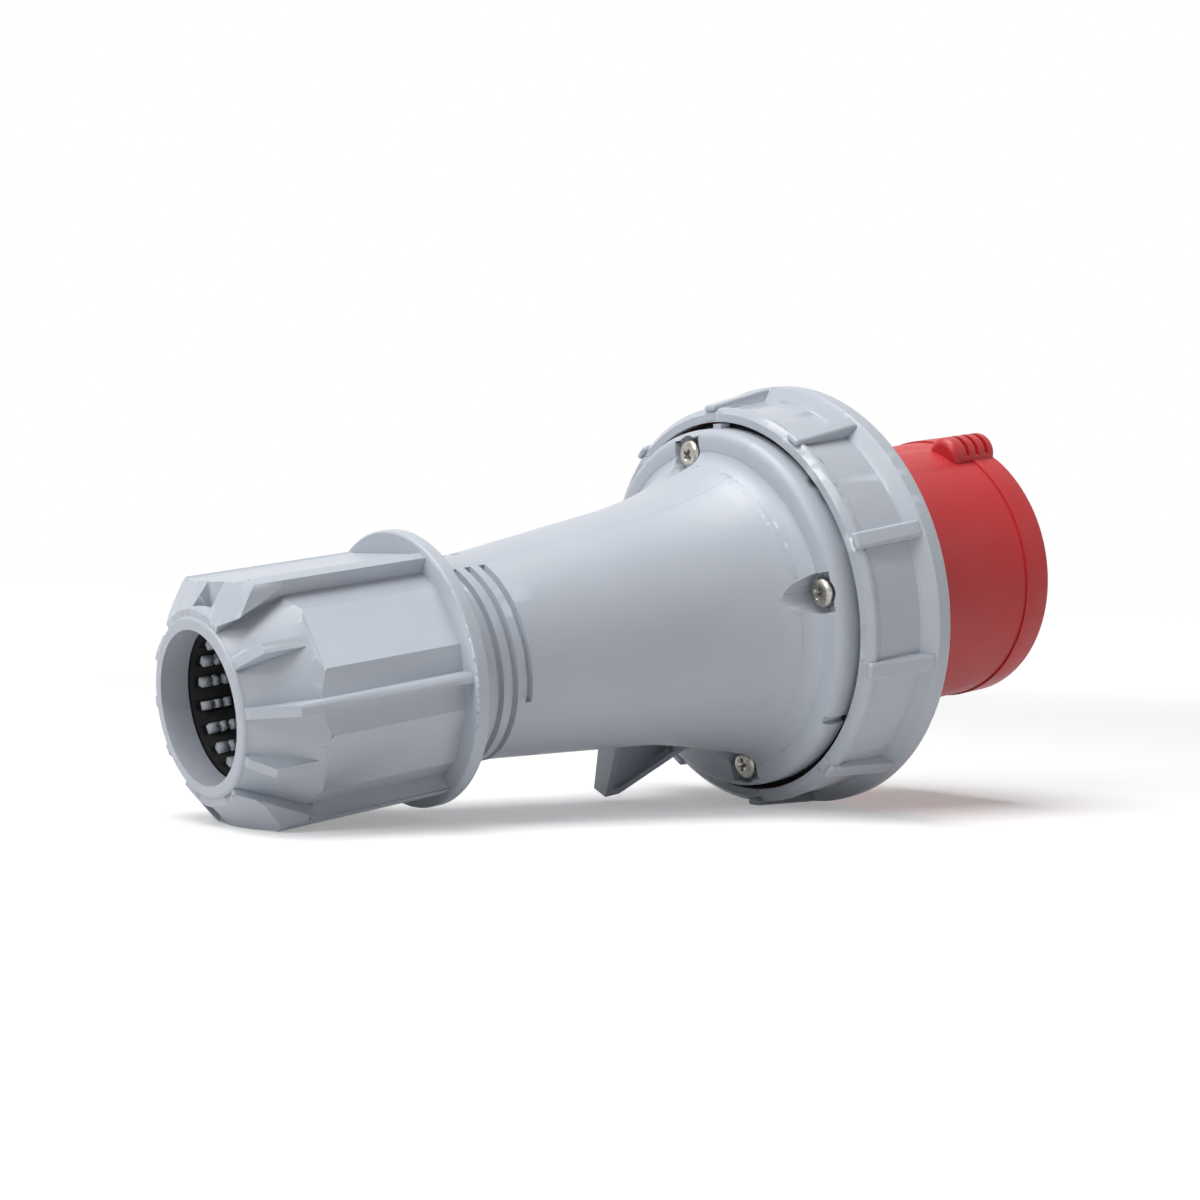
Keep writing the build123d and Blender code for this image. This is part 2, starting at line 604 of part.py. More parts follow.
def shroud():
    """Contact shroud with its flange, front band and slotted key."""
    band_start = SHROUD_END - SHROUD_BAND_LENGTH
    body = turned([
        (SHROUD_BORE_R, SHROUD_FLANGE_REAR), (SHROUD_FLANGE_R, SHROUD_FLANGE_REAR),
        (SHROUD_FLANGE_R, SHROUD_FLANGE_FRONT), (SHROUD_R, SHROUD_FLANGE_FRONT), (SHROUD_R, band_start),
        (SHROUD_BAND_R, band_start), (SHROUD_BAND_R, SHROUD_END), (SHROUD_BORE_R, SHROUD_END),
    ])
    body = rounded_edges(body, SHROUD_END, SHROUD_BAND_R, SHROUD_END_ROUND)
    bore = rod(SHROUD_BORE_R, SHROUD_FLANGE_REAR - 1, SHROUD_END + 1)
    hole_end = SHROUD_FLANGE_REAR + SCREW_ENGAGEMENT + SLIDE_GAP
    hole = rod(SCREW_R, SHROUD_FLANGE_REAR - 1, hole_end, SCREW_CIRCLE_R)
    return body + (Rot(0, 0, KEY_ANGLE) * key() - bore) - spun(hole, SCREW_COUNT, SCREW_PHASE)


def key():
    """Raised key on the shroud: a rounded cap at the rear and fins parted by slots in front."""
    end = SHROUD_END - KEY_SET_BACK
    outline = Pos(SHROUD_R, 0) * Ellipse(KEY_HEIGHT, KEY_HALF_WIDTH)
    bar = prism(outline, KEY_START, end)
    rear = bar.faces().sort_by(Axis.Z)[0]
    bar = fillet(rear.edges(), KEY_REAR_ROUND)
    front = bar.faces().sort_by(Axis.Z)[-1]
    bar = fillet(front.edges(), KEY_FRONT_ROUND)
    pitch = KEY_FIN_LENGTH + KEY_SLOT_WIDTH
    slots = [
        block(SHROUD_R + KEY_HEIGHT - KEY_SLOT_DEPTH, SHROUD_R + 2 * KEY_HEIGHT, 2 * KEY_HALF_WIDTH + 2,
              start, start + KEY_SLOT_WIDTH)
        for start in (KEY_START + KEY_CAP_LENGTH + index * pitch for index in range(KEY_FIN_COUNT))
    ]
    return bar - slots


def pin_places():
    """Name, angle, circle radius, pin radius and tip station of every contact."""
    step = 360 / PIN_COUNT
    names = ("pin_earth", "pin_l1", "pin_l2", "pin_l3", "pin_neutral")
    places = []
    for index, name in enumerate(names):
        radius = EARTH_PIN_R if index == 0 else PHASE_PIN_R
        end = EARTH_PIN_END if index == 0 else PHASE_PIN_END
        places.append((name, index * step, PIN_CIRCLE_R, radius, end))
    places.append(("pin_pilot", 0.0, 0.0, PILOT_PIN_R, PILOT_PIN_END))
    return places


def collar_radius(pin_r):
    """Radius of the captive collar of a contact."""
    return min(COLLAR_R, pin_r + PIN_SHOULDER + COLLAR_STEP)


def contact_pin(radius, end, terminal_r, hole_r, screw_r):
    """Turned brass pin with a captive collar and a screw terminal behind it."""
    shank_r = radius + PIN_SHOULDER
    collar_r = collar_radius(radius)
    collar_end = CARRIER_REAR + COLLAR_LENGTH
    terminal_start = RETAINER_REAR - TERMINAL_LENGTH
    pin = turned([
        (0, terminal_start), (terminal_r, terminal_start), (terminal_r, RETAINER_REAR),
        (shank_r, RETAINER_REAR), (shank_r, CARRIER_REAR), (collar_r, CARRIER_REAR), (collar_r, collar_end),
        (shank_r, collar_end), (shank_r, CARRIER_FRONT), (radius, CARRIER_FRONT), (radius, end), (0, end),
    ])
    pin = rounded_edges(pin, end, radius, PIN_TIP_ROUND)
    wire_hole = rod(hole_r, terminal_start - 1, terminal_start + WIRE_HOLE_DEPTH)
    screw_hole = Pos(0, 0, terminal_start + WIRE_HOLE_DEPTH / 2) * Rot(0, 90, 0) * Cylinder(
        screw_r, terminal_r + 1, align=(Align.CENTER, Align.CENTER, Align.MIN))
    return pin - wire_hole - screw_hole


def terminal_sizes(name):
    """Terminal radius, wire hole radius and screw radius of a contact."""
    if name == "pin_pilot":
        return PILOT_TERMINAL_R, PILOT_WIRE_HOLE_R, PILOT_SCREW_R
    return TERMINAL_R, WIRE_HOLE_R, TERMINAL_SCREW_R


def contact_pins():
    """Every contact pin in place, by name."""
    pins = {}
    for name, angle, circle_r, radius, end in pin_places():
        sizes = terminal_sizes(name)
        pins[name] = Rot(0, 0, angle) * Pos(circle_r, 0, 0) * contact_pin(radius, end, *sizes)
    return pins


def terminal_screws():
    """Slotted clamp screw of every terminal."""
    middle = RETAINER_REAR - TERMINAL_LENGTH + WIRE_HOLE_DEPTH / 2
    screws = []
    for name, angle, circle_r, _, _ in pin_places():
        terminal_r, hole_r, screw_r = terminal_sizes(name)
        length = terminal_r + TERMINAL_SCREW_STAND - hole_r / 2
        screw = Pos(hole_r / 2, 0, middle) * Rot(0, 90, 0) * Cylinder(
            screw_r, length, align=(Align.CENTER, Align.CENTER, Align.MIN))
        slot = block(terminal_r + TERMINAL_SCREW_STAND / 2, terminal_r + 2 * TERMINAL_SCREW_STAND,
                     screw_r / 3, middle - 2 * screw_r, middle + 2 * screw_r)
        screws.append(Rot(0, 0, angle) * Pos(circle_r, 0, 0) * (screw - slot))
    return Compound(children=screws)


def pin_carrier():
    """Moulded insulator that carries the contacts inside the shroud."""
    carrier = rod(SHROUD_BORE_R - PIN_FIT, CARRIER_REAR, CARRIER_FRONT)
    for _, angle, circle_r, radius, _ in pin_places():
        x, y = polar(circle_r, angle)
        hole_r = radius + PIN_SHOULDER + PIN_FIT
        recess_r = collar_radius(radius) + SLIDE_GAP
        carrier = carrier - rod(hole_r, CARRIER_REAR - 1, CARRIER_FRONT + 1, x, y)
        carrier = carrier - rod(recess_r, CARRIER_REAR - 1, CARRIER_REAR + COLLAR_LENGTH, x, y)
    hole_end = CARRIER_REAR + RETAINER_SCREW_DEPTH
    hole = rod(RETAINER_SCREW_R, CARRIER_REAR - 1, hole_end, RETAINER_SCREW_CIRCLE_R)
    return carrier - spun(hole, RETAINER_SCREW_COUNT, 180 / RETAINER_SCREW_COUNT)


def retainer_plate():
    """Rear plate that traps the contact collars in the carrier."""
    disc = rod(RETAINER_R, RETAINER_REAR, CARRIER_REAR)
    for _, angle, circle_r, radius, _ in pin_places():
        x, y = polar(circle_r, angle)
        disc = disc - rod(radius + PIN_SHOULDER + PIN_FIT, RETAINER_REAR - 1, CARRIER_REAR + 1, x, y)
    hole = rod(RETAINER_SCREW_R + SLIDE_GAP, RETAINER_REAR - 1, CARRIER_REAR + 1, RETAINER_SCREW_CIRCLE_R)
    return disc - spun(hole, RETAINER_SCREW_COUNT, 180 / RETAINER_SCREW_COUNT)


def retainer_screws():
    """Small screws that hold the retainer plate to the carrier."""
    start = RETAINER_REAR - RETAINER_SCREW_HEAD_HEIGHT
    screw = rod(RETAINER_SCREW_HEAD_R, start, RETAINER_REAR)
    screw = screw + rod(RETAINER_SCREW_R, RETAINER_REAR, CARRIER_REAR + RETAINER_SCREW_DEPTH)
    screw = Pos(RETAINER_SCREW_CIRCLE_R, 0, 0) * screw
    return Compound(children=spun(screw, RETAINER_SCREW_COUNT, 180 / RETAINER_SCREW_COUNT))


def face_gasket():
    """Rubber ring on the shroud flange that the socket's collar presses on."""
    return tube(FACE_GASKET_OUTER_R, FACE_GASKET_INNER_R, SHROUD_FLANGE_FRONT,
                SHROUD_FLANGE_FRONT + FACE_GASKET_THICKNESS)


def locking_ring():
    """Bayonet ring with a raised front rim, ten grip bars and three entries for the socket's lugs."""
    lip_end = SHROUD_FLANGE_REAR - FREE_GAP
    front_lip = RING_FRONT - RING_FRONT_LIP_LENGTH
    panel_start = RING_REAR + RING_LIP_BAND
    slope_start = RING_RIM_START - RING_RIM_SLOPE
    band_r = RING_PANEL_R + RING_LIP_RISE
    body = turned([
        (RING_LIP_R, RING_REAR), (RING_BORE_R + RING_REAR_WALL, RING_REAR),
        (band_r, RING_REAR + RING_LIP_EDGE),
        (band_r, panel_start - RING_LIP_BLEND), (RING_PANEL_R, panel_start),
        (RING_PANEL_R + RING_PANEL_RISE, slope_start), (RING_RIM_R, RING_RIM_START),
        (RING_RIM_R, RING_FRONT), (RING_FRONT_LIP_R, RING_FRONT), (RING_FRONT_LIP_R, front_lip),
        (RING_BORE_R, front_lip), (RING_BORE_R, lip_end), (RING_LIP_R, lip_end),
    ])
    body = rounded_edges(body, RING_FRONT, RING_RIM_R, RING_RIM_EDGE)
    body = body + spun(grip_bar(), RING_BAR_COUNT, RING_PHASE)
    entry = turned_sector(RING_FRONT_LIP_R - 1, RING_BORE_R, front_lip - 1, RING_FRONT + 1,
                          BAYONET_ENTRY_ANGLE)
    return body - spun(entry, BAYONET_COUNT, BAYONET_PHASE)


def grip_bar():
    """Grip bar along the ring's panel that turns down over the ring's rear face."""
    rear = RING_REAR - RING_BAR_OVERHANG
    front = RING_RIM_START + RING_BAR_OVERHANG / 3
    inner_r = RING_BORE_R + RING_WALL / 2
    bar = plate(
        [(RING_LIP_R + RING_BAR_INSET, rear), (RING_PANEL_R + RING_BAR_REAR_RISE, rear),
         (RING_PANEL_R + RING_BAR_FRONT_RISE, front), (inner_r, front), (inner_r, RING_REAR + 1),
         (RING_LIP_R + RING_BAR_INSET, RING_REAR + 1)],
        RING_BAR_WIDTH,
    )
    outer = bar.edges().filter_by(lambda edge: edge.center().X > RING_PANEL_R and edge.center().Z < front - 1)
    return fillet(outer, RING_BAR_ROUND)


def turned_sector(inner_r, outer_r, start, end, angle):
    """Part of a ring over an angle, centred on the X side."""
    with BuildPart() as part:
        with BuildSketch(Plane.XZ):
            with BuildLine():
                Polyline((inner_r, start), (outer_r, start), (outer_r, end), (inner_r, end), close=True)
            make_face()
        revolve(axis=Axis.Z, revolution_arc=angle)
    return Rot(0, 0, -angle / 2) * part.part


def pieces():
    """Every piece of the plug by node name."""
    parts = {
        "housing": housing(),
        "flange_screws": flange_screws(),
        "flange_gasket": flange_gasket(),
        "contact_shroud": shroud(),
        "pin_carrier": pin_carrier(),
        "retainer_plate": retainer_plate(),
        "retainer_screws": retainer_screws(),
        "terminal_screws": terminal_screws(),
        "face_gasket": face_gasket(),
        "locking_ring": locking_ring(),
        "gland_nut": gland_nut(),
        "slip_ring": slip_ring(),
        "clamp_cage": clamp_cage(),
        "seal_sleeve": seal_sleeve(),
    }
    parts.update(contact_pins())
    return parts


os.makedirs("parts", exist_ok=True)
print("tilt and roll, degrees:", round(degrees(TILT), 3), round(ROLL, 3))
print("origin on the axis frame, mm:", round(MIDDLE, 3), "drop", round(REST_DROP, 3))
for node, shape in pieces().items():
    export_step(REST.location * Rot(0, 0, ROLL) * shape, f"parts/{node}.step")
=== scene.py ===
"""Finishes, fine detail, light and camera of an industrial power plug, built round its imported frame."""
import json
import logging
import math
from collections.abc import Callable
from dataclasses import dataclass, field
from enum import Enum

import bpy
from mathutils import Matrix, Vector


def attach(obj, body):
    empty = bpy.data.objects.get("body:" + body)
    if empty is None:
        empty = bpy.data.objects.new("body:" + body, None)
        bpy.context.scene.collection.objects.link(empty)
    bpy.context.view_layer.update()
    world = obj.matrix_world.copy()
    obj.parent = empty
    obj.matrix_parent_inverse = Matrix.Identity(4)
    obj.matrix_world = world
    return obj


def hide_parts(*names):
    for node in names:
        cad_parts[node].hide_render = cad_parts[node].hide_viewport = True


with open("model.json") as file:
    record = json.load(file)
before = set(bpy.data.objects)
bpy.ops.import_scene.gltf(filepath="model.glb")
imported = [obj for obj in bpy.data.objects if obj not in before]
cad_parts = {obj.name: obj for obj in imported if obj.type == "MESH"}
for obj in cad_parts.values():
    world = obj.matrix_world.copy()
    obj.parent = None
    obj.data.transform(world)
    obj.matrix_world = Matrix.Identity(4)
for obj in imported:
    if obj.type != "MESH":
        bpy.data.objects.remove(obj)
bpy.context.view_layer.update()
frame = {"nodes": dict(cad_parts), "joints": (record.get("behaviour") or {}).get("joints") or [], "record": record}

logging.basicConfig(level=logging.INFO, format="%(name)s: %(message)s")
LOG = logging.getLogger("plug")
MM = 0.001
FLAT_ANGLE = math.radians(0.4)      # faces that meet flatter than this are merged
ROUND_ANGLE = math.radians(28.0)    # edges sharper than this are rounded
CORNER_ANGLE = math.radians(40.0)   # the same on small pieces with plain corners
SMOOTH_ANGLE = math.radians(30.0)   # edges flatter than this are shaded smooth
SMALL_SMOOTH_ANGLE = math.radians(35.0)  # the same on small pieces


class Body(Enum):
    """Bodies of the plug that a piece can ride on."""

    PLUG = "plug_body"
    RING = "ring"
    CLAMP = "clamp"
    NUT = "nut"


class Slot(Enum):
    """Material slots of the record."""

    GREY = "grey_plastic"
    CLAMP = "clamp_plastic"
    RED = "red_plastic"
    BLACK = "black_plastic"
    RUBBER = "black_rubber"
    STEEL = "steel"
    CONTACT = "nickel_brass"


@dataclass(frozen=True)
class PlugAxis:
    """The plug's own axis in the row frame: stations run from the cable mouth, angles from the key."""

    mouth: Vector
    along: Vector
    key: Vector

    @classmethod
    def from_frame(cls, joints: list[dict], mounts: list[dict]) -> "PlugAxis":
        """Read the axis from the gland nut's joint and the key's side from the earth contact.

        Args:
            joints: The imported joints.
            mounts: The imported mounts.

        Returns:
            The plug's axis.
        """
        nut = next(joint for joint in joints if joint["name"] == "nut_turn")
        earth = next(mount for mount in mounts if mount["name"] == "pin_earth_contact")
        along = Vector(nut["axis"]).normalized()
        mouth = Vector(nut["pos_m"])
        across = Vector(earth["pos_m"]) - mouth
        return cls(mouth, along, (across - along * across.dot(along)).normalized())

    def matrix(self) -> Matrix:
        """Turn local axes, X to the key and Z along the plug, into the row frame."""
        side = self.along.cross(self.key)
        turn = Matrix((self.key, side, self.along)).transposed().to_4x4()
        return Matrix.Translation(self.mouth) @ turn

    def point(self, station: float) -> Vector:
        """Point of the axis in the row frame.

        Args:
            station: Distance from the mouth along the axis, in metres.

        Returns:
            The point, in metres.
        """
        return self.matrix() @ Vector((0.0, 0.0, station))


class NodeGraph:
    """Small helper that fills a material's node tree."""

    def __init__(self, name: str) -> None:
        """Start an empty material with a principled shader.

        Args:
            name: Name of the material.
        """
        self.material = bpy.data.materials.new(name)
        self.material.use_nodes = True
        self.nodes = self.material.node_tree.nodes
        self.links = self.material.node_tree.links
        self.shader = self.nodes["Principled BSDF"]

    def add(self, kind: str, inputs: dict | None = None, **settings: object) -> bpy.types.Node:
        """Add a node.

        Args:
            kind: Blender's node type.
            inputs: Values or sockets for named or numbered inputs.
            **settings: Attributes to set on the node.

        Returns:
            The new node.
        """
        node = self.nodes.new(kind)
        for key, value in settings.items():
            setattr(node, key, value)
        for key, value in (inputs or {}).items():
            if isinstance(value, bpy.types.NodeSocket):
                self.links.new(value, node.inputs[key])
            elif isinstance(value, Vector):
                node.inputs[key].default_value = value[:]
            else:
                node.inputs[key].default_value = value
        return node

    def noise(self, scale: float, detail: float = 3.0, stretch: tuple = (1.0, 1.0, 1.0)) -> bpy.types.NodeSocket:
        """Noise on object coordinates, in metres.

        Args:
            scale: Cells per metre.
            detail: Octaves.
            stretch: Scale of each axis.

        Returns:
            The noise value's socket.
        """
        place = self.add("ShaderNodeTexCoord").outputs["Object"]
        mapping = self.add("ShaderNodeMapping", {"Vector": place, "Scale": stretch})
        node = self.add("ShaderNodeTexNoise", {"Vector": mapping.outputs["Vector"], "Scale": scale, "Detail": detail})
        return node.outputs["Fac"]

    def vector(self, operation: str, first: object, second: object, output: str = "Vector") -> bpy.types.NodeSocket:
        """Combine two vectors.

        Args:
            operation: Name of the vector operation.
            first: Vector or socket.
            second: Vector or socket.
            output: Which result is wanted, Vector or Value.

        Returns:
            The result's socket.
        """
        return self.add("ShaderNodeVectorMath", {0: first, 1: second}, operation=operation).outputs[output]

    def number(self, operation: str, first: object, second: object = 0.0) -> bpy.types.NodeSocket:
        """Combine two numbers.

        Args:
            operation: Name of the operation.
            first: Number or socket.
            second: Number or socket.

        Returns:
            The result's socket.
        """
        return self.add("ShaderNodeMath", {0: first, 1: second}, operation=operation).outputs[0]

    def from_mouth(self, axis: PlugAxis) -> bpy.types.NodeSocket:
        """Place on the piece, counted from the cable mouth.

        Args:
            axis: The plug's axis.

        Returns:
            The place's socket.
        """
        return self.vector("SUBTRACT", self.add("ShaderNodeTexCoord").outputs["Object"], axis.mouth)

    def station(self, axis: PlugAxis) -> bpy.types.NodeSocket:
        """Station along the plug's axis, in metres.

        Args:
            axis: The plug's axis.

        Returns:
            The station's socket.
        """
        return self.vector("DOT_PRODUCT", self.from_mouth(axis), axis.along, "Value")

    def radius(self, axis: PlugAxis) -> bpy.types.NodeSocket:
        """Distance from the plug's axis, in metres.

        Args:
            axis: The plug's axis.

        Returns:
            The distance's socket.
        """
        across = self.vector("CROSS_PRODUCT", self.from_mouth(axis), axis.along)
        return self.add("ShaderNodeVectorMath", {0: across}, operation="LENGTH").outputs["Value"]

    def step(self, value: bpy.types.NodeSocket, start: float, end: float) -> bpy.types.NodeSocket:
        """Rise smoothly from 0 to 1 between two values.

        Args:
            value: The value's socket.
            start: Where the rise starts.
            end: Where it ends.

        Returns:
            The rise's socket.
        """
        inputs = {"Value": value, "From Min": start, "From Max": end}
        return self.add("ShaderNodeMapRange", inputs, interpolation_type="SMOOTHSTEP").outputs["Result"]

    def spread(self, value: bpy.types.NodeSocket, low: float, high: float) -> bpy.types.NodeSocket:
        """Map a noise value onto a range.

        Args:
            value: Socket that lies mostly between 0.3 and 0.7.
            low: Result at the low end.
            high: Result at the high end.

        Returns:
            The mapped value's socket.
        """
        node = self.add("ShaderNodeMapRange", {"Value": value, "From Min": 0.3, "From Max": 0.7,
                                               "To Min": low, "To Max": high})
        return node.outputs["Result"]

    def bump(self, height: bpy.types.NodeSocket, distance: float, strength: float = 1.0,
             normal: bpy.types.NodeSocket | None = None) -> bpy.types.NodeSocket:
        """Bump from a height value.

        Args:
            height: Height's socket.
            distance: Height of the relief, in metres.
            strength: Share of the relief.
            normal: Normal that the bump adds to.

        Returns:
            The normal's socket.
        """
        inputs = {"Height": height, "Distance": distance, "Strength": strength}
        if normal is not None:
            inputs["Normal"] = normal
        return self.add("ShaderNodeBump", inputs).outputs["Normal"]

    def blend_colour(self, factor: bpy.types.NodeSocket, first: tuple, second: tuple) -> bpy.types.NodeSocket:
        """Mix two colours.

        Args:
            factor: Share of the second colour.
            first: Linear colour.
            second: Linear colour.

        Returns:
            The mixed colour's socket.
        """
        node = self.add("ShaderNodeMix", data_type="RGBA")
        node.inputs[6].default_value = (*first, 1.0)
        node.inputs[7].default_value = (*second, 1.0)
        self.links.new(factor, node.inputs[0])
        return node.outputs[2]


@dataclass(frozen=True)
class MouldedPlastic:
    """Injection-moulded plastic: fine spark texture, faint flow marks and slow colour drift."""

    name: str
    colour: tuple[float, float, float]
    drift: float = 0.03
    roughness: tuple[float, float] = (0.34, 0.42)
    texture_height: float = 0.000008
    flow_height: float = 0.00002
    texture_scale: float = 2600.0

    def colour_of(self, graph: NodeGraph) -> bpy.types.NodeSocket:
        """Colour that drifts slowly over the piece.

        Args:
            graph: The material's graph.

        Returns:
            The colour's socket.
        """
        darker = tuple(value * (1.0 - self.drift) for value in self.colour)
        lighter = tuple(value * (1.0 + self.drift) for value in self.colour)
        return graph.blend_colour(graph.spread(graph.noise(28.0, 3.0), 0.0, 1.0), darker, lighter)

    def roughness_of(self, graph: NodeGraph) -> bpy.types.NodeSocket:
        """Roughness with faint patches from handling.

        Args:
            graph: The material's graph.

        Returns:
            The roughness's socket.
        """
        return graph.spread(graph.noise(95.0, 4.0), *self.roughness)

    def relief_of(self, graph: NodeGraph) -> bpy.types.NodeSocket:
        """Normal with flow marks and the tool's spark texture.

        Args:
            graph: The material's graph.

        Returns:
            The normal's socket.
        """
        flow = graph.bump(graph.noise(55.0, 2.0, (0.6, 1.0, 1.0)), self.flow_height)
        return graph.bump(graph.noise(self.texture_scale, 2.0), self.texture_height, 1.0, flow)

    def material(self) -> bpy.types.Material:
        """Build the node material."""
        graph = NodeGraph(self.name)
        graph.links.new(self.colour_of(graph), graph.shader.inputs["Base Color"])
        graph.links.new(self.roughness_of(graph), graph.shader.inputs["Roughness"])
        graph.links.new(self.relief_of(graph), graph.shader.inputs["Normal"])
        graph.shader.inputs["IOR"].default_value = 1.5
        return graph.material


@dataclass(frozen=True)
class PartedPlastic(MouldedPlastic):
    """Moulded plastic with the fine raised line where the two halves of its mould met."""

    axis: PlugAxis | None = None
    line_width: float = 0.00022
    line_height: float = 0.00006

    def relief_of(self, graph: NodeGraph) -> bpy.types.NodeSocket:
        """Normal of the plain plastic with the mould's parting line.

        Args:
            graph: The material's graph.

        Returns:
            The normal's socket.
        """
        side = self.axis.along.cross(self.axis.key)
        offset = graph.vector("DOT_PRODUCT", graph.from_mouth(self.axis), side, "Value")
        ridge = graph.step(graph.number("ABSOLUTE", offset), self.line_width, self.line_width / 3)
        return graph.bump(ridge, self.line_height, 1.0, super().relief_of(graph))


@dataclass(frozen=True)
class PanelledPlastic(MouldedPlastic):
    """Moulded plastic that is satin on its raised grips and polished on the panels between them."""

    axis: PlugAxis | None = None
    panel_radius: float = 0.0517
    polish: float = 0.16

    def roughness_of(self, graph: NodeGraph) -> bpy.types.NodeSocket:
        """Roughness that drops on the panels.

        Args:
            graph: The material's graph.

        Returns:
            The roughness's socket.
        """
        raised = graph.step(graph.radius(self.axis), self.panel_radius, self.panel_radius + 0.0004)
        satin = super().roughness_of(graph)
        return graph.add("ShaderNodeMix", {0: raised, 2: self.polish, 3: satin}).outputs[0]


@dataclass(frozen=True)
class SoftRubber:
    """Matt black rubber with a dusty bloom."""

    name: str
    colour: tuple[float, float, float] = (0.004, 0.004, 0.005)
    bloom: tuple[float, float, float] = (0.009, 0.009, 0.010)

    def material(self) -> bpy.types.Material:
        """Build the node material."""
        graph = NodeGraph(self.name)
        colour = graph.blend_colour(graph.spread(graph.noise(210.0, 5.0), 0.0, 1.0), self.colour, self.bloom)
        graph.links.new(colour, graph.shader.inputs["Base Color"])
        graph.links.new(graph.spread(graph.noise(400.0), 0.62, 0.78), graph.shader.inputs["Roughness"])
        graph.links.new(graph.bump(graph.noise(1900.0), 0.00002), graph.shader.inputs["Normal"])
        graph.shader.inputs["Specular IOR Level"].default_value = 0.2
        return graph.material


@dataclass(frozen=True)
class TurnedMetal:
    """Plated or bright metal with fine tool marks and scuffs."""

    name: str
    colour: tuple[float, float, float]
    shade: tuple[float, float, float]
    roughness: tuple[float, float] = (0.2, 0.36)

    def material(self) -> bpy.types.Material:
        """Build the node material."""
        graph = NodeGraph(self.name)
        colour = graph.blend_colour(graph.spread(graph.noise(420.0, 5.0), 0.0, 1.0), self.shade, self.colour)
        graph.links.new(colour, graph.shader.inputs["Base Color"])
        graph.links.new(graph.spread(graph.noise(900.0, 4.0), *self.roughness), graph.shader.inputs["Roughness"])
        graph.links.new(graph.bump(graph.noise(3200.0, 2.0), 0.000006), graph.shader.inputs["Normal"])
        graph.shader.inputs["Metallic"].default_value = 1.0
        return graph.material


@dataclass(frozen=True)
class StudioFloor:
    """Pale floor that keeps the plug's shadow and fades into the white background far from it."""

    name: str = "studio_floor"
    colour: tuple[float, float, float] = (0.80, 0.80, 0.80)
    near_lift: float = 0.30
    far_lift: float = 0.90
    near: float = 0.35
    far: float = 1.5

    def material(self) -> bpy.types.Material:
        """Build the node material."""
        graph = NodeGraph(self.name)
        drift = graph.spread(graph.noise(3.0, 2.0), 0.0, 1.0)
        paler = tuple(value * 1.01 for value in self.colour)
        graph.links.new(graph.blend_colour(drift, self.colour, paler), graph.shader.inputs["Base Color"])
        graph.shader.inputs["Roughness"].default_value = 0.9
        graph.shader.inputs["Specular IOR Level"].default_value = 0.1
        graph.shader.inputs["Emission Color"].default_value = (1.0, 1.0, 1.0, 1.0)
        place = graph.add("ShaderNodeTexCoord").outputs["Object"]
        distance = graph.add("ShaderNodeVectorMath", {0: place}, operation="LENGTH").outputs["Value"]
        lift = graph.add("ShaderNodeMix", {0: graph.step(distance, self.near, self.far),
                                           2: self.near_lift, 3: self.far_lift}).outputs[0]
        path = graph.add("ShaderNodeLightPath")
        seen = graph.number("MAXIMUM", path.outputs["Is Camera Ray"], path.outputs["Is Glossy Ray"])
        graph.links.new(graph.number("MULTIPLY", seen, lift), graph.shader.inputs["Emission Strength"])
        return graph.material


class Finishes:
    """Every finish of the plug, built when it is first asked for."""

    grey_colour = (0.470, 0.503, 0.562)

    def __init__(self, axis: PlugAxis) -> None:
        """Set the finishes up.

        Args:
            axis: The plug's axis, which some patterns follow.
        """
        self.finish: dict[Slot, MouldedPlastic | SoftRubber | TurnedMetal] = {
            Slot.GREY: MouldedPlastic("light_grey_polyamide", self.grey_colour),
            Slot.CLAMP: MouldedPlastic("clamp_polyamide", (0.43, 0.46, 0.50), roughness=(0.42, 0.55)),
            Slot.RED: PartedPlastic("signal_red_polyamide", (0.52, 0.020, 0.024), roughness=(0.36, 0.46),
                                    axis=axis, line_height=0.00002),
            Slot.BLACK: MouldedPlastic("black_insulator", (0.028, 0.028, 0.030)),
            Slot.RUBBER: SoftRubber("black_rubber"),
            Slot.STEEL: TurnedMetal("bright_steel", (0.50, 0.48, 0.44), (0.30, 0.285, 0.26)),
            Slot.CONTACT: TurnedMetal("nickel_plated_brass", (0.72, 0.67, 0.56), (0.55, 0.50, 0.41)),
        }
        self.special: dict[str, MouldedPlastic] = {
            "housing": PartedPlastic("light_grey_housing", self.grey_colour, axis=axis),
            "locking_ring": PanelledPlastic("light_grey_ring", self.grey_colour, axis=axis),
        }
        self.built: dict[str, bpy.types.Material] = {}

    def get(self, slot: Slot, node: str = "") -> bpy.types.Material:
        """Material of a slot, or of a node that has one of its own.

        Args:
            slot: Material slot of the record.
            node: Name of the node, where it may have its own finish.

        Returns:
            The node material.
        """
        finish = self.special.get(node, self.finish[slot])
        if finish.name not in self.built:
            self.built[finish.name] = finish.material()
        return self.built[finish.name]


def only(piece: bpy.types.Object) -> None:
    """Select one piece and make it the active one.

    Args:
        piece: The piece.
    """
    bpy.ops.object.select_all(action="DESELECT")
    piece.select_set(True)
    bpy.context.view_layer.objects.active = piece


def pick_faces(piece: bpy.types.Object, test: Callable[[Vector, Vector], bool]) -> None:
    """Select the faces of a piece by place and normal, ready for edit mode.

    Args:
        piece: The piece, in object mode.
        test: Takes a face's centre and normal, and says whether it is wanted.
    """
    for vertex in piece.data.vertices:
        vertex.select = False
    for edge in piece.data.edges:
        edge.select = False
    for face in piece.data.polygons:
        face.select = test(face.center, face.normal)


def edit(mode: str) -> None:
    """Go into edit mode with one kind of element.

    Args:
        mode: VERT, EDGE or FACE.
    """
    bpy.ops.object.mode_set(mode="EDIT")
    bpy.ops.mesh.select_mode(type=mode)


def leave() -> None:
    """Leave edit mode."""
    bpy.ops.object.mode_set(mode="OBJECT")


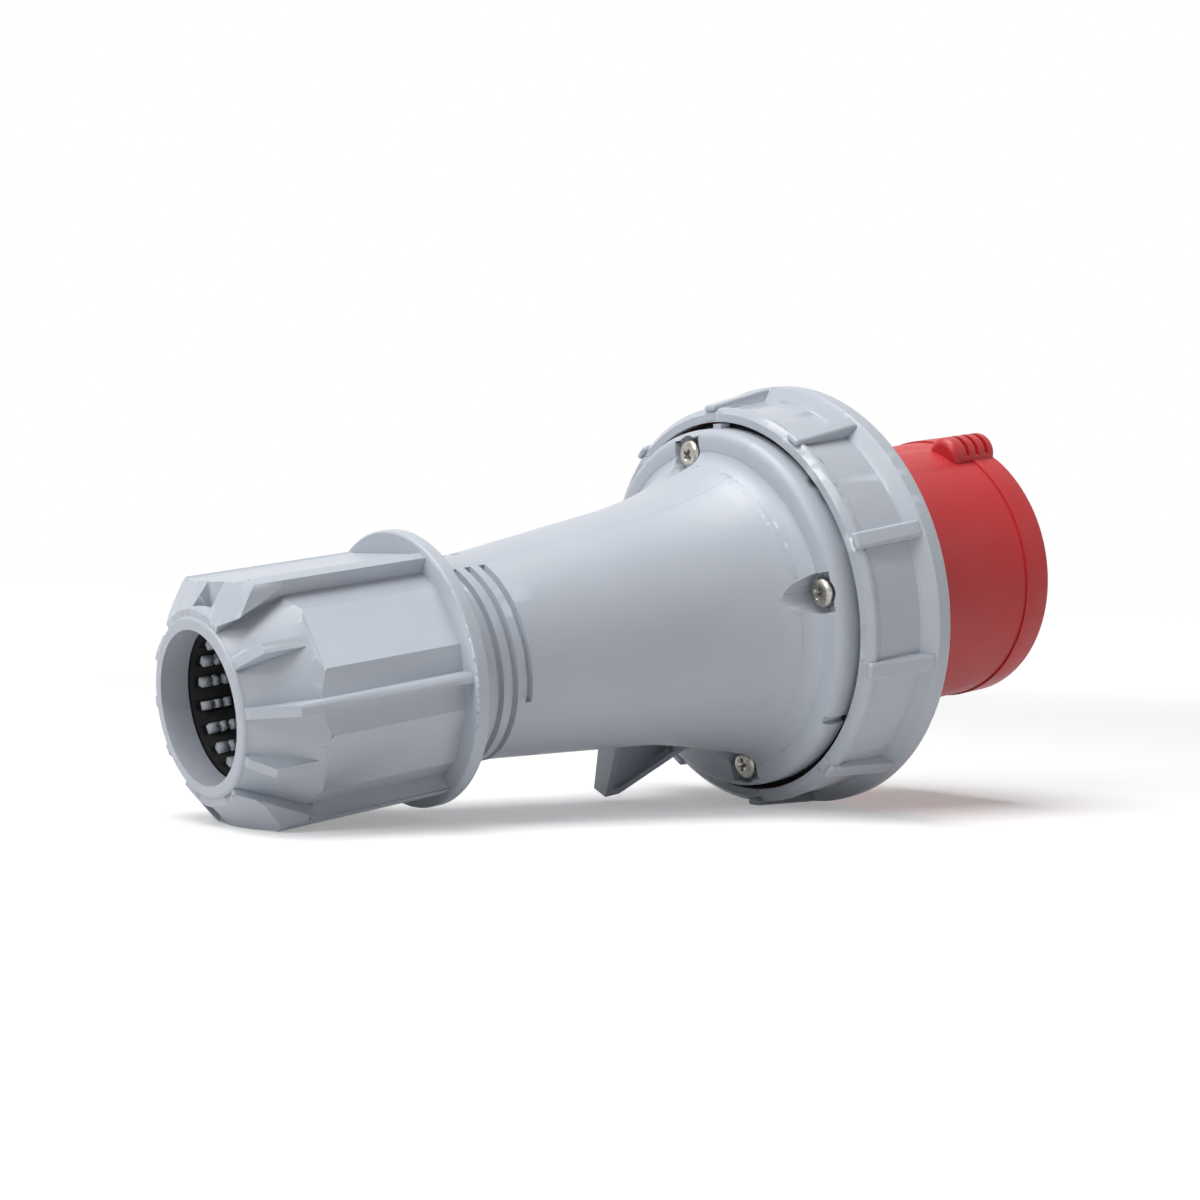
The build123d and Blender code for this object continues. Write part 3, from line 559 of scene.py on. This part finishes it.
def settle(piece: bpy.types.Object, place: Matrix) -> None:
    """Put a piece in place and apply the place to its mesh.

    Args:
        piece: The piece.
        place: Its place in the row frame.
    """
    piece.matrix_world = place
    only(piece)
    bpy.ops.object.transform_apply(location=True, rotation=True, scale=True)


def add_rounding(piece: bpy.types.Object, width: float) -> None:
    """Add the modifiers that merge flat faces and round sharp edges.

    Args:
        piece: The piece.
        width: Width of the rounding, in the piece's own unit.
    """
    flats = piece.modifiers.new("flats", "DECIMATE")
    flats.decimate_type = "DISSOLVE"
    flats.angle_limit = FLAT_ANGLE
    rounding = piece.modifiers.new("edge", "BEVEL")
    rounding.width = width
    rounding.segments = 3
    rounding.limit_method = "ANGLE"
    rounding.angle_limit = ROUND_ANGLE
    rounding.miter_outer = "MITER_ARC"


def break_corners(piece: bpy.types.Object, width: float, segments: int) -> None:
    """Round the corners of a small piece for good.

    Args:
        piece: The piece.
        width: Width of the rounding, in the piece's own unit.
        segments: Faces across the rounding.
    """
    rounding = piece.modifiers.new("corners", "BEVEL")
    rounding.width = width
    rounding.segments = segments
    rounding.angle_limit = CORNER_ANGLE
    only(piece)
    bpy.ops.object.modifier_apply(modifier="corners")


def dress(node: bpy.types.Object, material: bpy.types.Material, edge: float = 0.0) -> None:
    """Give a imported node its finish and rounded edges.

    Args:
        node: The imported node.
        material: Its material.
        edge: Radius of the rounded edges, in metres, or 0 for none.
    """
    node.data.materials.clear()
    node.data.materials.append(material)
    weld = node.modifiers.new("weld", "WELD")
    weld.merge_threshold = 0.002 * MM
    if edge:
        add_rounding(node, edge)
    only(node)
    bpy.ops.object.shade_smooth_by_angle(angle=SMOOTH_ANGLE)
    LOG.info("dressed %s with %s", node.name, material.name)


def outline(points: list[tuple[float, float]]) -> bpy.types.Object:
    """Model a flat face that holds the axis, in millimetres.

    Args:
        points: Corners, each with its distance from the axis and its station.

    Returns:
        The face.
    """
    bpy.ops.object.select_all(action="DESELECT")
    bpy.ops.mesh.primitive_circle_add(vertices=len(points), fill_type="NGON")
    face = bpy.context.active_object
    for vertex, (radius, station) in zip(face.data.vertices, points):
        vertex.co = (radius, 0.0, station)
    return face


def close_up(piece: bpy.types.Object) -> None:
    """Merge a piece's doubles and turn its faces outwards.

    Args:
        piece: The piece, in millimetres.
    """
    only(piece)
    edit("VERT")
    bpy.ops.mesh.select_all(action="SELECT")
    bpy.ops.mesh.remove_doubles(threshold=0.002)
    bpy.ops.mesh.normals_make_consistent(inside=False)
    leave()


def turned(points: list[tuple[float, float]], steps: int = 180) -> bpy.types.Object:
    """Model a ring about the axis from its outline.

    Args:
        points: Corners of the outline, in millimetres.
        steps: Facets round the ring.

    Returns:
        The ring.
    """
    ring = outline(points)
    edit("EDGE")
    bpy.ops.mesh.select_all(action="SELECT")
    bpy.ops.mesh.delete(type="ONLY_FACE")
    bpy.ops.mesh.select_all(action="SELECT")
    bpy.ops.mesh.spin(steps=steps, angle=2 * math.pi, center=(0.0, 0.0, 0.0), axis=(0.0, 0.0, 1.0))
    leave()
    close_up(ring)
    return ring


def plate(points: list[tuple[float, float]], width: float) -> bpy.types.Object:
    """Model a flat plate that holds the axis, with its middle in the plane of the outline.

    Args:
        points: Corners of the outline, in millimetres.
        width: Thickness of the plate, in millimetres.

    Returns:
        The plate.
    """
    slab = outline(points)
    edit("FACE")
    bpy.ops.mesh.select_all(action="SELECT")
    bpy.ops.transform.translate(value=(0.0, -width / 2, 0.0))
    bpy.ops.mesh.extrude_region_move(TRANSFORM_OT_translate={"value": (0.0, width, 0.0)})
    leave()
    close_up(slab)
    return slab


def disc(radius: float, start: float, end: float, out: float) -> bpy.types.Object:
    """Model a round bar along the axis, away from it.

    Args:
        radius: Radius of the bar, in millimetres.
        start: Station of one end.
        end: Station of the other end.
        out: Distance of the bar from the axis.

    Returns:
        The bar.
    """
    bpy.ops.object.select_all(action="DESELECT")
    bpy.ops.mesh.primitive_cylinder_add(vertices=64, radius=radius, depth=end - start,
                                        location=(out, 0.0, (start + end) / 2))
    bar = bpy.context.active_object
    only(bar)
    bpy.ops.object.transform_apply(location=True, rotation=True, scale=True)
    return bar


def spread_round(piece: bpy.types.Object, angles: list[float]) -> bpy.types.Object:
    """Copy a piece to several angles about the axis and join the copies.

    Args:
        piece: The piece, which is used up.
        angles: Angles from the key, in degrees.

    Returns:
        One object with every copy.
    """
    copies = []
    for angle in angles:
        copy = bpy.data.objects.new(piece.name, piece.data.copy())
        bpy.context.scene.collection.objects.link(copy)
        copy.data.transform(Matrix.Rotation(math.radians(angle), 4, "Z"))
        copies.append(copy)
    bpy.data.objects.remove(piece)
    only(copies[0])
    for copy in copies[1:]:
        copy.select_set(True)
    if len(copies) > 1:
        bpy.ops.object.join()
    return bpy.context.view_layer.objects.active


def combine(piece: bpy.types.Object, tool: bpy.types.Object, operation: str) -> None:
    """Cut a tool out of a piece, or add it.

    Args:
        piece: The piece that changes.
        tool: The tool, which is used up.
        operation: DIFFERENCE or UNION.
    """
    change = piece.modifiers.new("change", "BOOLEAN")
    change.operation = operation
    change.solver = "EXACT"
    change.object = tool
    only(piece)
    bpy.ops.object.modifier_apply(modifier="change")
    bpy.data.objects.remove(tool)


@dataclass
class CarvedPiece:
    """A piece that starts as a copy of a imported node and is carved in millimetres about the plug's axis."""

    axis: PlugAxis
    finishes: Finishes
    node: str = ""
    body: Body = Body.PLUG
    slot: Slot = Slot.GREY
    edge: float = 0.3

    def build(self) -> None:
        """Copy the node, carve it, round its edges and put it in the node's place."""
        place = self.axis.matrix() @ Matrix.Diagonal((MM, MM, MM, 1.0))
        source = frame["nodes"][self.node]
        piece = bpy.data.objects.new(f"{self.node}_moulding", source.data.copy())
        bpy.context.scene.collection.objects.link(piece)
        piece.data.transform(place.inverted() @ source.matrix_world)
        piece.data.materials.clear()
        close_up(piece)
        self.carve(piece)
        piece.data.materials.clear()
        self.round_edges(piece)
        settle(piece, place)
        piece.data.materials.append(self.finishes.get(self.slot, self.node))
        only(piece)
        bpy.ops.object.shade_smooth_by_angle(angle=SMOOTH_ANGLE)
        shading = piece.modifiers.new("shading", "WEIGHTED_NORMAL")
        shading.keep_sharp = True
        bpy.ops.object.modifier_apply(modifier="shading")
        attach(piece, self.body.value)
        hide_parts(self.node)
        LOG.info("carved %s with %d faces", piece.name, len(piece.data.polygons))

    def carve(self, piece: bpy.types.Object) -> None:
        """Change the piece's shape.

        Args:
            piece: The piece, in millimetres.
        """

    def round_edges(self, piece: bpy.types.Object) -> None:
        """Merge flat faces, split them into triangles and round the sharp edges.

        A flat ring that stays one face is filled right across its hole once its edges are rounded.

        Args:
            piece: The piece, in millimetres.
        """
        add_rounding(piece, self.edge)
        only(piece)
        bpy.ops.object.modifier_apply(modifier="flats")
        edit("FACE")
        bpy.ops.mesh.select_all(action="SELECT")
        bpy.ops.mesh.quads_convert_to_tris(quad_method="BEAUTY", ngon_method="BEAUTY")
        leave()
        bpy.ops.object.modifier_apply(modifier="edge")


@dataclass
class RingMoulding(CarvedPiece):
    """The locking ring with long polished panels, a short front rim and soft grip bars."""

    node: str = "locking_ring"
    body: Body = Body.RING
    edge: float = 0.45
    bar_count: int = 10
    bar_phase: float = 11.7
    bar_width: float = 4.2
    bar_round: float = 1.0
    bar: tuple[tuple[float, float], ...] = (
        (50.5, 153.6), (52.1, 153.6), (54.8, 173.2), (50.3, 174.6))
    panel: tuple[tuple[float, float], ...] = (
        (49.7, 153.7), (51.15, 155.1), (51.3, 155.5), (51.3, 156.8), (50.7, 157.7),
        (51.35, 170.6), (52.1, 171.4), (54.3, 173.1), (54.96, 173.9))
    rear: float = 153.75
    behind: float = 145.0
    inside: float = 40.0
    outside: float = 60.0

    def carve(self, piece: bpy.types.Object) -> None:
        """Turn the outside to its new outline and set soft bars on it.

        Args:
            piece: The ring, in millimetres.
        """
        rear_end = [(self.inside, self.behind), (self.outside, self.behind),
                    (self.outside, self.rear), (self.inside, self.rear)]
        combine(piece, turned(rear_end), "DIFFERENCE")
        (lip, _), (_, rim) = self.panel[0], self.panel[-1]
        clear = self.rear - 0.75
        combine(piece, turned([*self.panel, (self.outside, rim), (self.outside, clear), (lip, clear)]), "DIFFERENCE")
        angles = [self.bar_phase + index * 360.0 / self.bar_count for index in range(self.bar_count)]
        combine(piece, spread_round(self.grip_bar(), angles), "UNION")

    def grip_bar(self) -> bpy.types.Object:
        """Model one grip bar on the key's side, with all its edges well rounded."""
        bar = plate(list(self.bar), self.bar_width)
        break_corners(bar, self.bar_round, 5)
        return bar


@dataclass
class FlangeMoulding(CarvedPiece):
    """The housing with a flat rear shelf, a tight rounding at its edge and a soft end of the cone."""

    node: str = "housing"
    edge: float = 0.25
    pocket_radius: float = 4.95
    pocket_circle: float = 40.3
    pocket_start: float = 137.0
    pocket_floor: float = 150.74
    pocket_wall: float = 44.5
    pocket_angles: tuple[float, ...] = (60.0, 150.0, 240.0, 330.0)
    notch_angle: float = 103.0
    notch_width: float = 2.3
    notch: tuple[tuple[float, float], ...] = ((44.95, 147.0), (48.0, 147.0), (48.0, 157.0), (44.95, 157.0))
    cone_fill: tuple[tuple[float, float], ...] = (
        (34.2, 139.5), (34.72, 139.5), (35.7, 141.6), (36.5, 143.2), (37.02, 144.2), (37.28, 145.0),
        (36.6, 145.5), (35.6, 145.5))
    shelf_fill: tuple[tuple[float, float], ...] = (
        (41.2, 151.0), (41.2, 148.44), (42.6, 148.46), (44.0, 148.62), (44.9, 148.95), (45.6, 149.5),
        (46.05, 150.3), (46.17, 151.2), (46.17, 153.0), (44.5, 153.0))

    def carve(self, piece: bpy.types.Object) -> None:
        """Fill the cone's end and the shelf's edge, then cut the pockets and the notch again.

        Args:
            piece: The housing, in millimetres.
        """
        combine(piece, turned(list(self.cone_fill)), "UNION")
        combine(piece, turned(list(self.shelf_fill)), "UNION")
        start, floor, circle, wall = self.pocket_start, self.pocket_floor, self.pocket_circle, self.pocket_wall
        rod = disc(self.pocket_radius, start, floor, circle)
        combine(piece, spread_round(rod, list(self.pocket_angles)), "DIFFERENCE")
        block = plate([(circle, start), (wall, start), (wall, floor), (circle, floor)], 2 * self.pocket_radius)
        combine(piece, spread_round(block, list(self.pocket_angles)), "DIFFERENCE")
        notch = plate(list(self.notch), self.notch_width)
        combine(piece, spread_round(notch, [self.notch_angle]), "DIFFERENCE")


@dataclass
class NutMoulding(CarvedPiece):
    """The gland nut with plain flats beside its ribs and a slanted recess in the front of each grip pad."""

    node: str = "gland_nut"
    body: Body = Body.NUT
    edge: float = 0.5
    phase: float = 7.4
    rib_pitch: float = 60.0
    rib_half: float = 1.2
    flat: float = 27.27
    flat_start: float = 15.0
    rim_start: float = 51.95
    strip_width: float = 7.6
    strip_top: float = 34.0
    pad_angles: tuple[float, ...] = (-22.6, 157.4)
    clear_sides: tuple[tuple[int, int], ...] = ((0, 1), (1, 1), (1, -1), (2, -1), (3, 1), (4, 1), (4, -1), (5, -1))
    filler: tuple[tuple[float, float], ...] = (
        (21.5, 1.75), (23.0, 1.75), (27.18, 5.04), (27.27, 5.1), (27.27, 9.0), (23.5, 9.0))
    filler_width: float = 4.7
    recess: tuple[tuple[float, float, float], ...] = (
        (19.6, 0.9, 1.2), (19.6, 7.9, 2.1), (20.0, 7.8, 6.1), (20.0, 1.7, 5.2))
    recess_reach: float = 12.0

    def carve(self, piece: bpy.types.Object) -> None:
        """Clear the flats beside the ribs and move the pads' recesses.

        Args:
            piece: The nut, in millimetres.
        """
        beside = [(self.flat, self.flat_start), (self.strip_top, self.flat_start),
                  (self.strip_top, self.rim_start), (self.flat, self.rim_start)]
        for rib, side in self.clear_sides:
            strip = plate(beside, self.strip_width)
            strip.data.transform(Matrix.Translation((0.0, side * (self.rib_half + self.strip_width / 2), 0.0)))
            combine(piece, spread_round(strip, [self.phase + self.rib_pitch * rib]), "DIFFERENCE")
        filler = plate(list(self.filler), self.filler_width)
        combine(piece, spread_round(filler, list(self.pad_angles)), "UNION")
        combine(piece, spread_round(self.recess_tool(), list(self.pad_angles)), "DIFFERENCE")

    def recess_tool(self) -> bpy.types.Object:
        """Model the slanted block that cuts one recess, in a pad that lies on the key's side."""
        tool = outline([(floor, station) for floor, _, station in self.recess])
        for vertex, (_, across, _) in zip(tool.data.vertices, self.recess):
            vertex.co.y = across
        edit("FACE")
        bpy.ops.mesh.select_all(action="SELECT")
        bpy.ops.mesh.extrude_region_move(TRANSFORM_OT_translate={"value": (self.recess_reach, 0.0, 0.0)})
        leave()
        close_up(tool)
        return tool


@dataclass
class PackedNodes:
    """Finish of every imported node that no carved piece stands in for, with the rounding of its edges."""

    finishes: Finishes
    red: dict[str, float] = field(default_factory=lambda: {"contact_shroud": 0.2 * MM})
    clamp: dict[str, float] = field(default_factory=lambda: {"slip_ring": 0.0, "clamp_cage": 0.0})
    black: dict[str, float] = field(default_factory=lambda: {"pin_carrier": 0.2 * MM, "retainer_plate": 0.0})
    rubber: dict[str, float] = field(default_factory=lambda: {
        "flange_gasket": 0.0, "face_gasket": 0.2 * MM, "seal_sleeve": 0.0})
    steel: dict[str, float] = field(default_factory=lambda: {
        "flange_screws": 0.1 * MM, "retainer_screws": 0.0, "terminal_screws": 0.0})
    contact: dict[str, float] = field(default_factory=lambda: {
        name: 0.0 for name in ("pin_earth", "pin_l1", "pin_l2", "pin_l3", "pin_neutral", "pin_pilot")})

    def build(self) -> None:
        """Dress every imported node."""
        groups = {Slot.RED: self.red, Slot.CLAMP: self.clamp, Slot.BLACK: self.black,
                  Slot.RUBBER: self.rubber, Slot.STEEL: self.steel, Slot.CONTACT: self.contact}
        for slot, nodes in groups.items():
            for name, edge in nodes.items():
                dress(frame["nodes"][name], self.finishes.get(slot, name), edge)


@dataclass
class FlangeScrews:
    """Four pan-head screws with a tapered cross recess, seated in the flange's pockets."""

    axis: PlugAxis
    finishes: Finishes
    circle: float = 40.3 * MM
    seat: float = 150.7 * MM
    head_radius: float = 3.9 * MM
    head_height: float = 2.6 * MM
    head_round: float = 1.7 * MM
    shank_radius: float = 2.0 * MM
    shank_length: float = 9.3 * MM
    wing_length: float = 4.7 * MM
    wing_width: float = 1.4 * MM
    wing_taper: tuple[float, float, float] = (0.4, 0.6, 1.0)
    recess_depth: float = 1.9 * MM
    edge: float = 0.05 * MM
    angles: tuple[float, ...] = (60.0, 150.0, 240.0, 330.0)
    turns: tuple[float, ...] = (31.0, 12.0, 66.0, 48.0)

    def build(self) -> None:
        """Model one screw and seat a copy of it in every pocket."""
        screw = self.screw()
        for index, (angle, turn) in enumerate(zip(self.angles, self.turns), start=1):
            copy = screw.copy()
            copy.data = screw.data.copy()
            copy.name = f"flange_screw_{index}"
            bpy.context.scene.collection.objects.link(copy)
            place = (self.axis.matrix() @ Matrix.Rotation(math.radians(angle), 4, "Z")
                     @ Matrix.Translation((self.circle, 0.0, self.seat))
                     @ Matrix.Rotation(math.radians(turn), 4, "Z"))
            settle(copy, place)
            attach(copy, Body.PLUG.value)
            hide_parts("flange_screws")
            LOG.info("seated %s", copy.name)
        bpy.data.objects.remove(screw)

    def screw(self) -> bpy.types.Object:
        """Model one screw about its own axis, with its seat at the origin and its head below."""
        bpy.ops.object.select_all(action="DESELECT")
        bpy.ops.mesh.primitive_cylinder_add(vertices=48, radius=self.head_radius, depth=self.head_height,
                                            location=(0.0, 0.0, -self.head_height / 2))
        screw = bpy.context.active_object
        only(screw)
        bpy.ops.object.transform_apply(location=True, rotation=True, scale=True)
        pick_faces(screw, lambda centre, normal: normal.z < -0.5)
        edit("FACE")
        bpy.ops.mesh.region_to_loop()
        bpy.ops.mesh.bevel(offset=self.head_round, segments=7, profile=0.5, affect="EDGES")
        leave()
        pick_faces(screw, lambda centre, normal: normal.z > 0.5)
        edit("FACE")
        bpy.ops.mesh.inset(thickness=self.head_radius - self.shank_radius)
        bpy.ops.mesh.extrude_region_move(TRANSFORM_OT_translate={"value": (0.0, 0.0, self.shank_length)})
        leave()
        for turn in (0.0, 90.0):
            self.cut_wing(screw, turn)
        screw.data.materials.append(self.finishes.get(Slot.STEEL))
        break_corners(screw, self.edge, 2)
        bpy.ops.object.shade_smooth_by_angle(angle=SMALL_SMOOTH_ANGLE)
        return screw

    def cut_wing(self, screw: bpy.types.Object, turn: float) -> None:
        """Cut one tapered wing of the cross recess.

        Args:
            screw: The screw.
            turn: Angle of the wing, in degrees.
        """
        bpy.ops.object.select_all(action="DESELECT")
        bpy.ops.mesh.primitive_cube_add(size=1.0)
        cutter = bpy.context.active_object
        edit("FACE")
        bpy.ops.mesh.select_all(action="SELECT")
        bpy.ops.transform.resize(value=(self.wing_length, self.wing_width, 2 * self.recess_depth))
        leave()
        pick_faces(cutter, lambda centre, normal: normal.z > 0.5)
        edit("FACE")
        bpy.ops.transform.resize(value=self.wing_taper)
        leave()
        settle(cutter, Matrix.Translation((0.0, 0.0, -self.head_height))
               @ Matrix.Rotation(math.radians(turn), 4, "Z"))
        combine(screw, cutter, "DIFFERENCE")


@dataclass
class ContactBosses:
    """Raised collars on the carrier's face, one round each contact."""

    axis: PlugAxis
    finishes: Finishes
    face: float = 181.0 * MM
    height: float = 1.4 * MM
    wall: float = 1.1 * MM
    gap: float = 0.5 * MM
    edge: float = 0.25 * MM
    contacts: tuple[tuple[float, float, float], ...] = (
        (0.0, 21.75 * MM, 5.0 * MM), (72.0, 21.75 * MM, 4.0 * MM), (144.0, 21.75 * MM, 4.0 * MM),
        (216.0, 21.75 * MM, 4.0 * MM), (288.0, 21.75 * MM, 4.0 * MM), (0.0, 0.0, 3.0 * MM))

    def build(self) -> None:
        """Raise a collar round every contact."""
        for index, (angle, circle, radius) in enumerate(self.contacts, start=1):
            boss = self.boss(radius)
            boss.name = f"contact_boss_{index}"
            settle(boss, self.axis.matrix() @ Matrix.Rotation(math.radians(angle), 4, "Z")
                   @ Matrix.Translation((circle, 0.0, self.face)))
            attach(boss, Body.PLUG.value)
            LOG.info("raised %s", boss.name)

    def boss(self, radius: float) -> bpy.types.Object:
        """Model one collar about its own axis.

        Args:
            radius: Radius of the contact inside it.

        Returns:
            The collar.
        """
        outer = radius + self.gap + self.wall
        bpy.ops.object.select_all(action="DESELECT")
        bpy.ops.mesh.primitive_cylinder_add(vertices=48, radius=outer, depth=self.height,
                                            location=(0.0, 0.0, self.height / 2))
        boss = bpy.context.active_object
        only(boss)
        bpy.ops.object.transform_apply(location=True, rotation=True, scale=True)
        pick_faces(boss, lambda centre, normal: normal.z > 0.5)
        edit("FACE")
        bpy.ops.mesh.inset(thickness=self.wall)
        bpy.ops.mesh.extrude_region_move(TRANSFORM_OT_translate={"value": (0.0, 0.0, -0.9 * self.height)})
        leave()
        boss.data.materials.append(self.finishes.get(Slot.BLACK))
        break_corners(boss, self.edge, 3)
        bpy.ops.object.shade_smooth_by_angle(angle=SMALL_SMOOTH_ANGLE)
        return boss


@dataclass(frozen=True)
class Lamp:
    """A soft square lamp: its direction from the plug is given by the camera's right, up and back."""

    name: str
    direction: tuple[float, float, float]
    distance: float
    size: float
    power: float


@dataclass
class Studio:
    """Floor, soft light and the camera at the photograph's angle."""

    axis: PlugAxis
    floor_size: float = 12.0
    plug_roll: float = 10.5
    azimuth: float = -38.05
    elevation: float = 15.76
    camera_roll: float = 1.79
    distance: float = 0.5725
    lens: float = 69.54
    target_station: float = 0.1107
    target_height: float = 0.0079
    world_strength: float = 0.08
    lamps: tuple[Lamp, ...] = (
        Lamp("overhead", (-0.15, 1.0, 0.1), 1.3, 0.9, 15.8),
        Lamp("front_high", (-0.6, 0.7, 0.75), 1.4, 0.8, 7.9),
        Lamp("right_side", (0.9, 0.4, 0.3), 1.4, 0.6, 0.4),
    )

    def view_axes(self) -> tuple[Vector, Vector, Vector, Vector]:
        """Camera's right, up and back directions and its target, in the row frame."""
        turn = math.radians(-self.plug_roll)
        side = self.axis.along.cross(self.axis.key)
        plumb = self.axis.key * math.cos(turn) + side * math.sin(turn)
        away = plumb.cross(self.axis.along)
        azimuth, elevation = math.radians(self.azimuth), math.radians(self.elevation)
        level = self.axis.along * math.sin(azimuth) - away * math.cos(azimuth)
        back = level * math.cos(elevation) + plumb * math.sin(elevation)
        right = (-back).cross(plumb).normalized()
        up = right.cross(-back)
        target = self.axis.point(self.target_station) + up * self.target_height
        roll = math.radians(self.camera_roll)
        rolled_right = right * math.cos(roll) + up * math.sin(roll)
        rolled_up = up * math.cos(roll) - right * math.sin(roll)
        return rolled_right, rolled_up, back, target

    def build(self) -> None:
        """Make the floor, the lamps, the world and the camera."""
        right, up, back, target = self.view_axes()
        self.make_camera(right, up, back, target)
        self.make_floor()
        self.make_world()
        for lamp in self.lamps:
            sideways, upwards, backwards = lamp.direction
            direction = (right * sideways + up * upwards + back * backwards).normalized()
            self.make_lamp(lamp, target + direction * lamp.distance, target)

    def make_camera(self, right: Vector, up: Vector, back: Vector, target: Vector) -> None:
        """Place the camera.

        Args:
            right: Its right direction.
            up: Its up direction.
            back: Direction from the target to it.
            target: The point it looks at.
        """
        data = bpy.data.cameras.new("photo_camera")
        data.lens = self.lens
        data.sensor_width = 36.0
        camera = bpy.data.objects.new("photo_camera", data)
        bpy.context.scene.collection.objects.link(camera)
        turn = Matrix((right, up, back)).transposed().to_4x4()
        camera.matrix_world = Matrix.Translation(target + back * self.distance) @ turn
        bpy.context.scene.camera = camera
        LOG.info("camera placed")

    def make_floor(self) -> None:
        """Lay the pale floor under the plug."""
        bpy.ops.object.select_all(action="DESELECT")
        bpy.ops.mesh.primitive_plane_add(size=self.floor_size, location=(0.0, 0.0, 0.0))
        floor = bpy.context.active_object
        floor.name = "studio_floor"
        floor.data.materials.append(StudioFloor().material())
        LOG.info("floor laid")

    def make_world(self) -> None:
        """Light the scene evenly and show white behind the floor."""
        world = bpy.data.worlds.new("soft_white")
        world.use_nodes = True
        nodes, links = world.node_tree.nodes, world.node_tree.links
        background = nodes["Background"]
        background.inputs["Color"].default_value = (1.0, 1.0, 1.0, 1.0)
        path = nodes.new("ShaderNodeLightPath")
        strength = nodes.new("ShaderNodeMapRange")
        strength.inputs["To Min"].default_value = self.world_strength
        strength.inputs["To Max"].default_value = 1.0
        seen = nodes.new("ShaderNodeMath")
        seen.operation = "MAXIMUM"
        links.new(path.outputs["Is Camera Ray"], seen.inputs[0])
        links.new(path.outputs["Is Glossy Ray"], seen.inputs[1])
        links.new(seen.outputs[0], strength.inputs["Value"])
        links.new(strength.outputs["Result"], background.inputs["Strength"])
        bpy.context.scene.world = world

    def make_lamp(self, lamp: Lamp, place: Vector, target: Vector) -> None:
        """Add a soft square lamp.

        Args:
            lamp: Its name, size and power.
            place: Where it stands.
            target: What it points at.
        """
        data = bpy.data.lights.new(lamp.name, "AREA")
        data.energy = lamp.power
        data.size = lamp.size
        holder = bpy.data.objects.new(lamp.name, data)
        holder.location = place
        holder.rotation_euler = (place - target).to_track_quat("Z", "Y").to_euler()
        bpy.context.scene.collection.objects.link(holder)
        LOG.info("lamp %s placed", lamp.name)


def main() -> None:
    """Build the studio and dress the plug."""
    scene = bpy.context.scene
    scene.view_settings.view_transform = "Standard"
    axis = PlugAxis.from_frame(frame["joints"], frame["record"]["mounts"])
    Studio(axis).build()
    finishes = Finishes(axis)
    PackedNodes(finishes).build()
    FlangeMoulding(axis, finishes).build()
    RingMoulding(axis, finishes).build()
    NutMoulding(axis, finishes).build()
    FlangeScrews(axis, finishes).build()
    ContactBosses(axis, finishes).build()


if __name__ == "__main__":
    main()
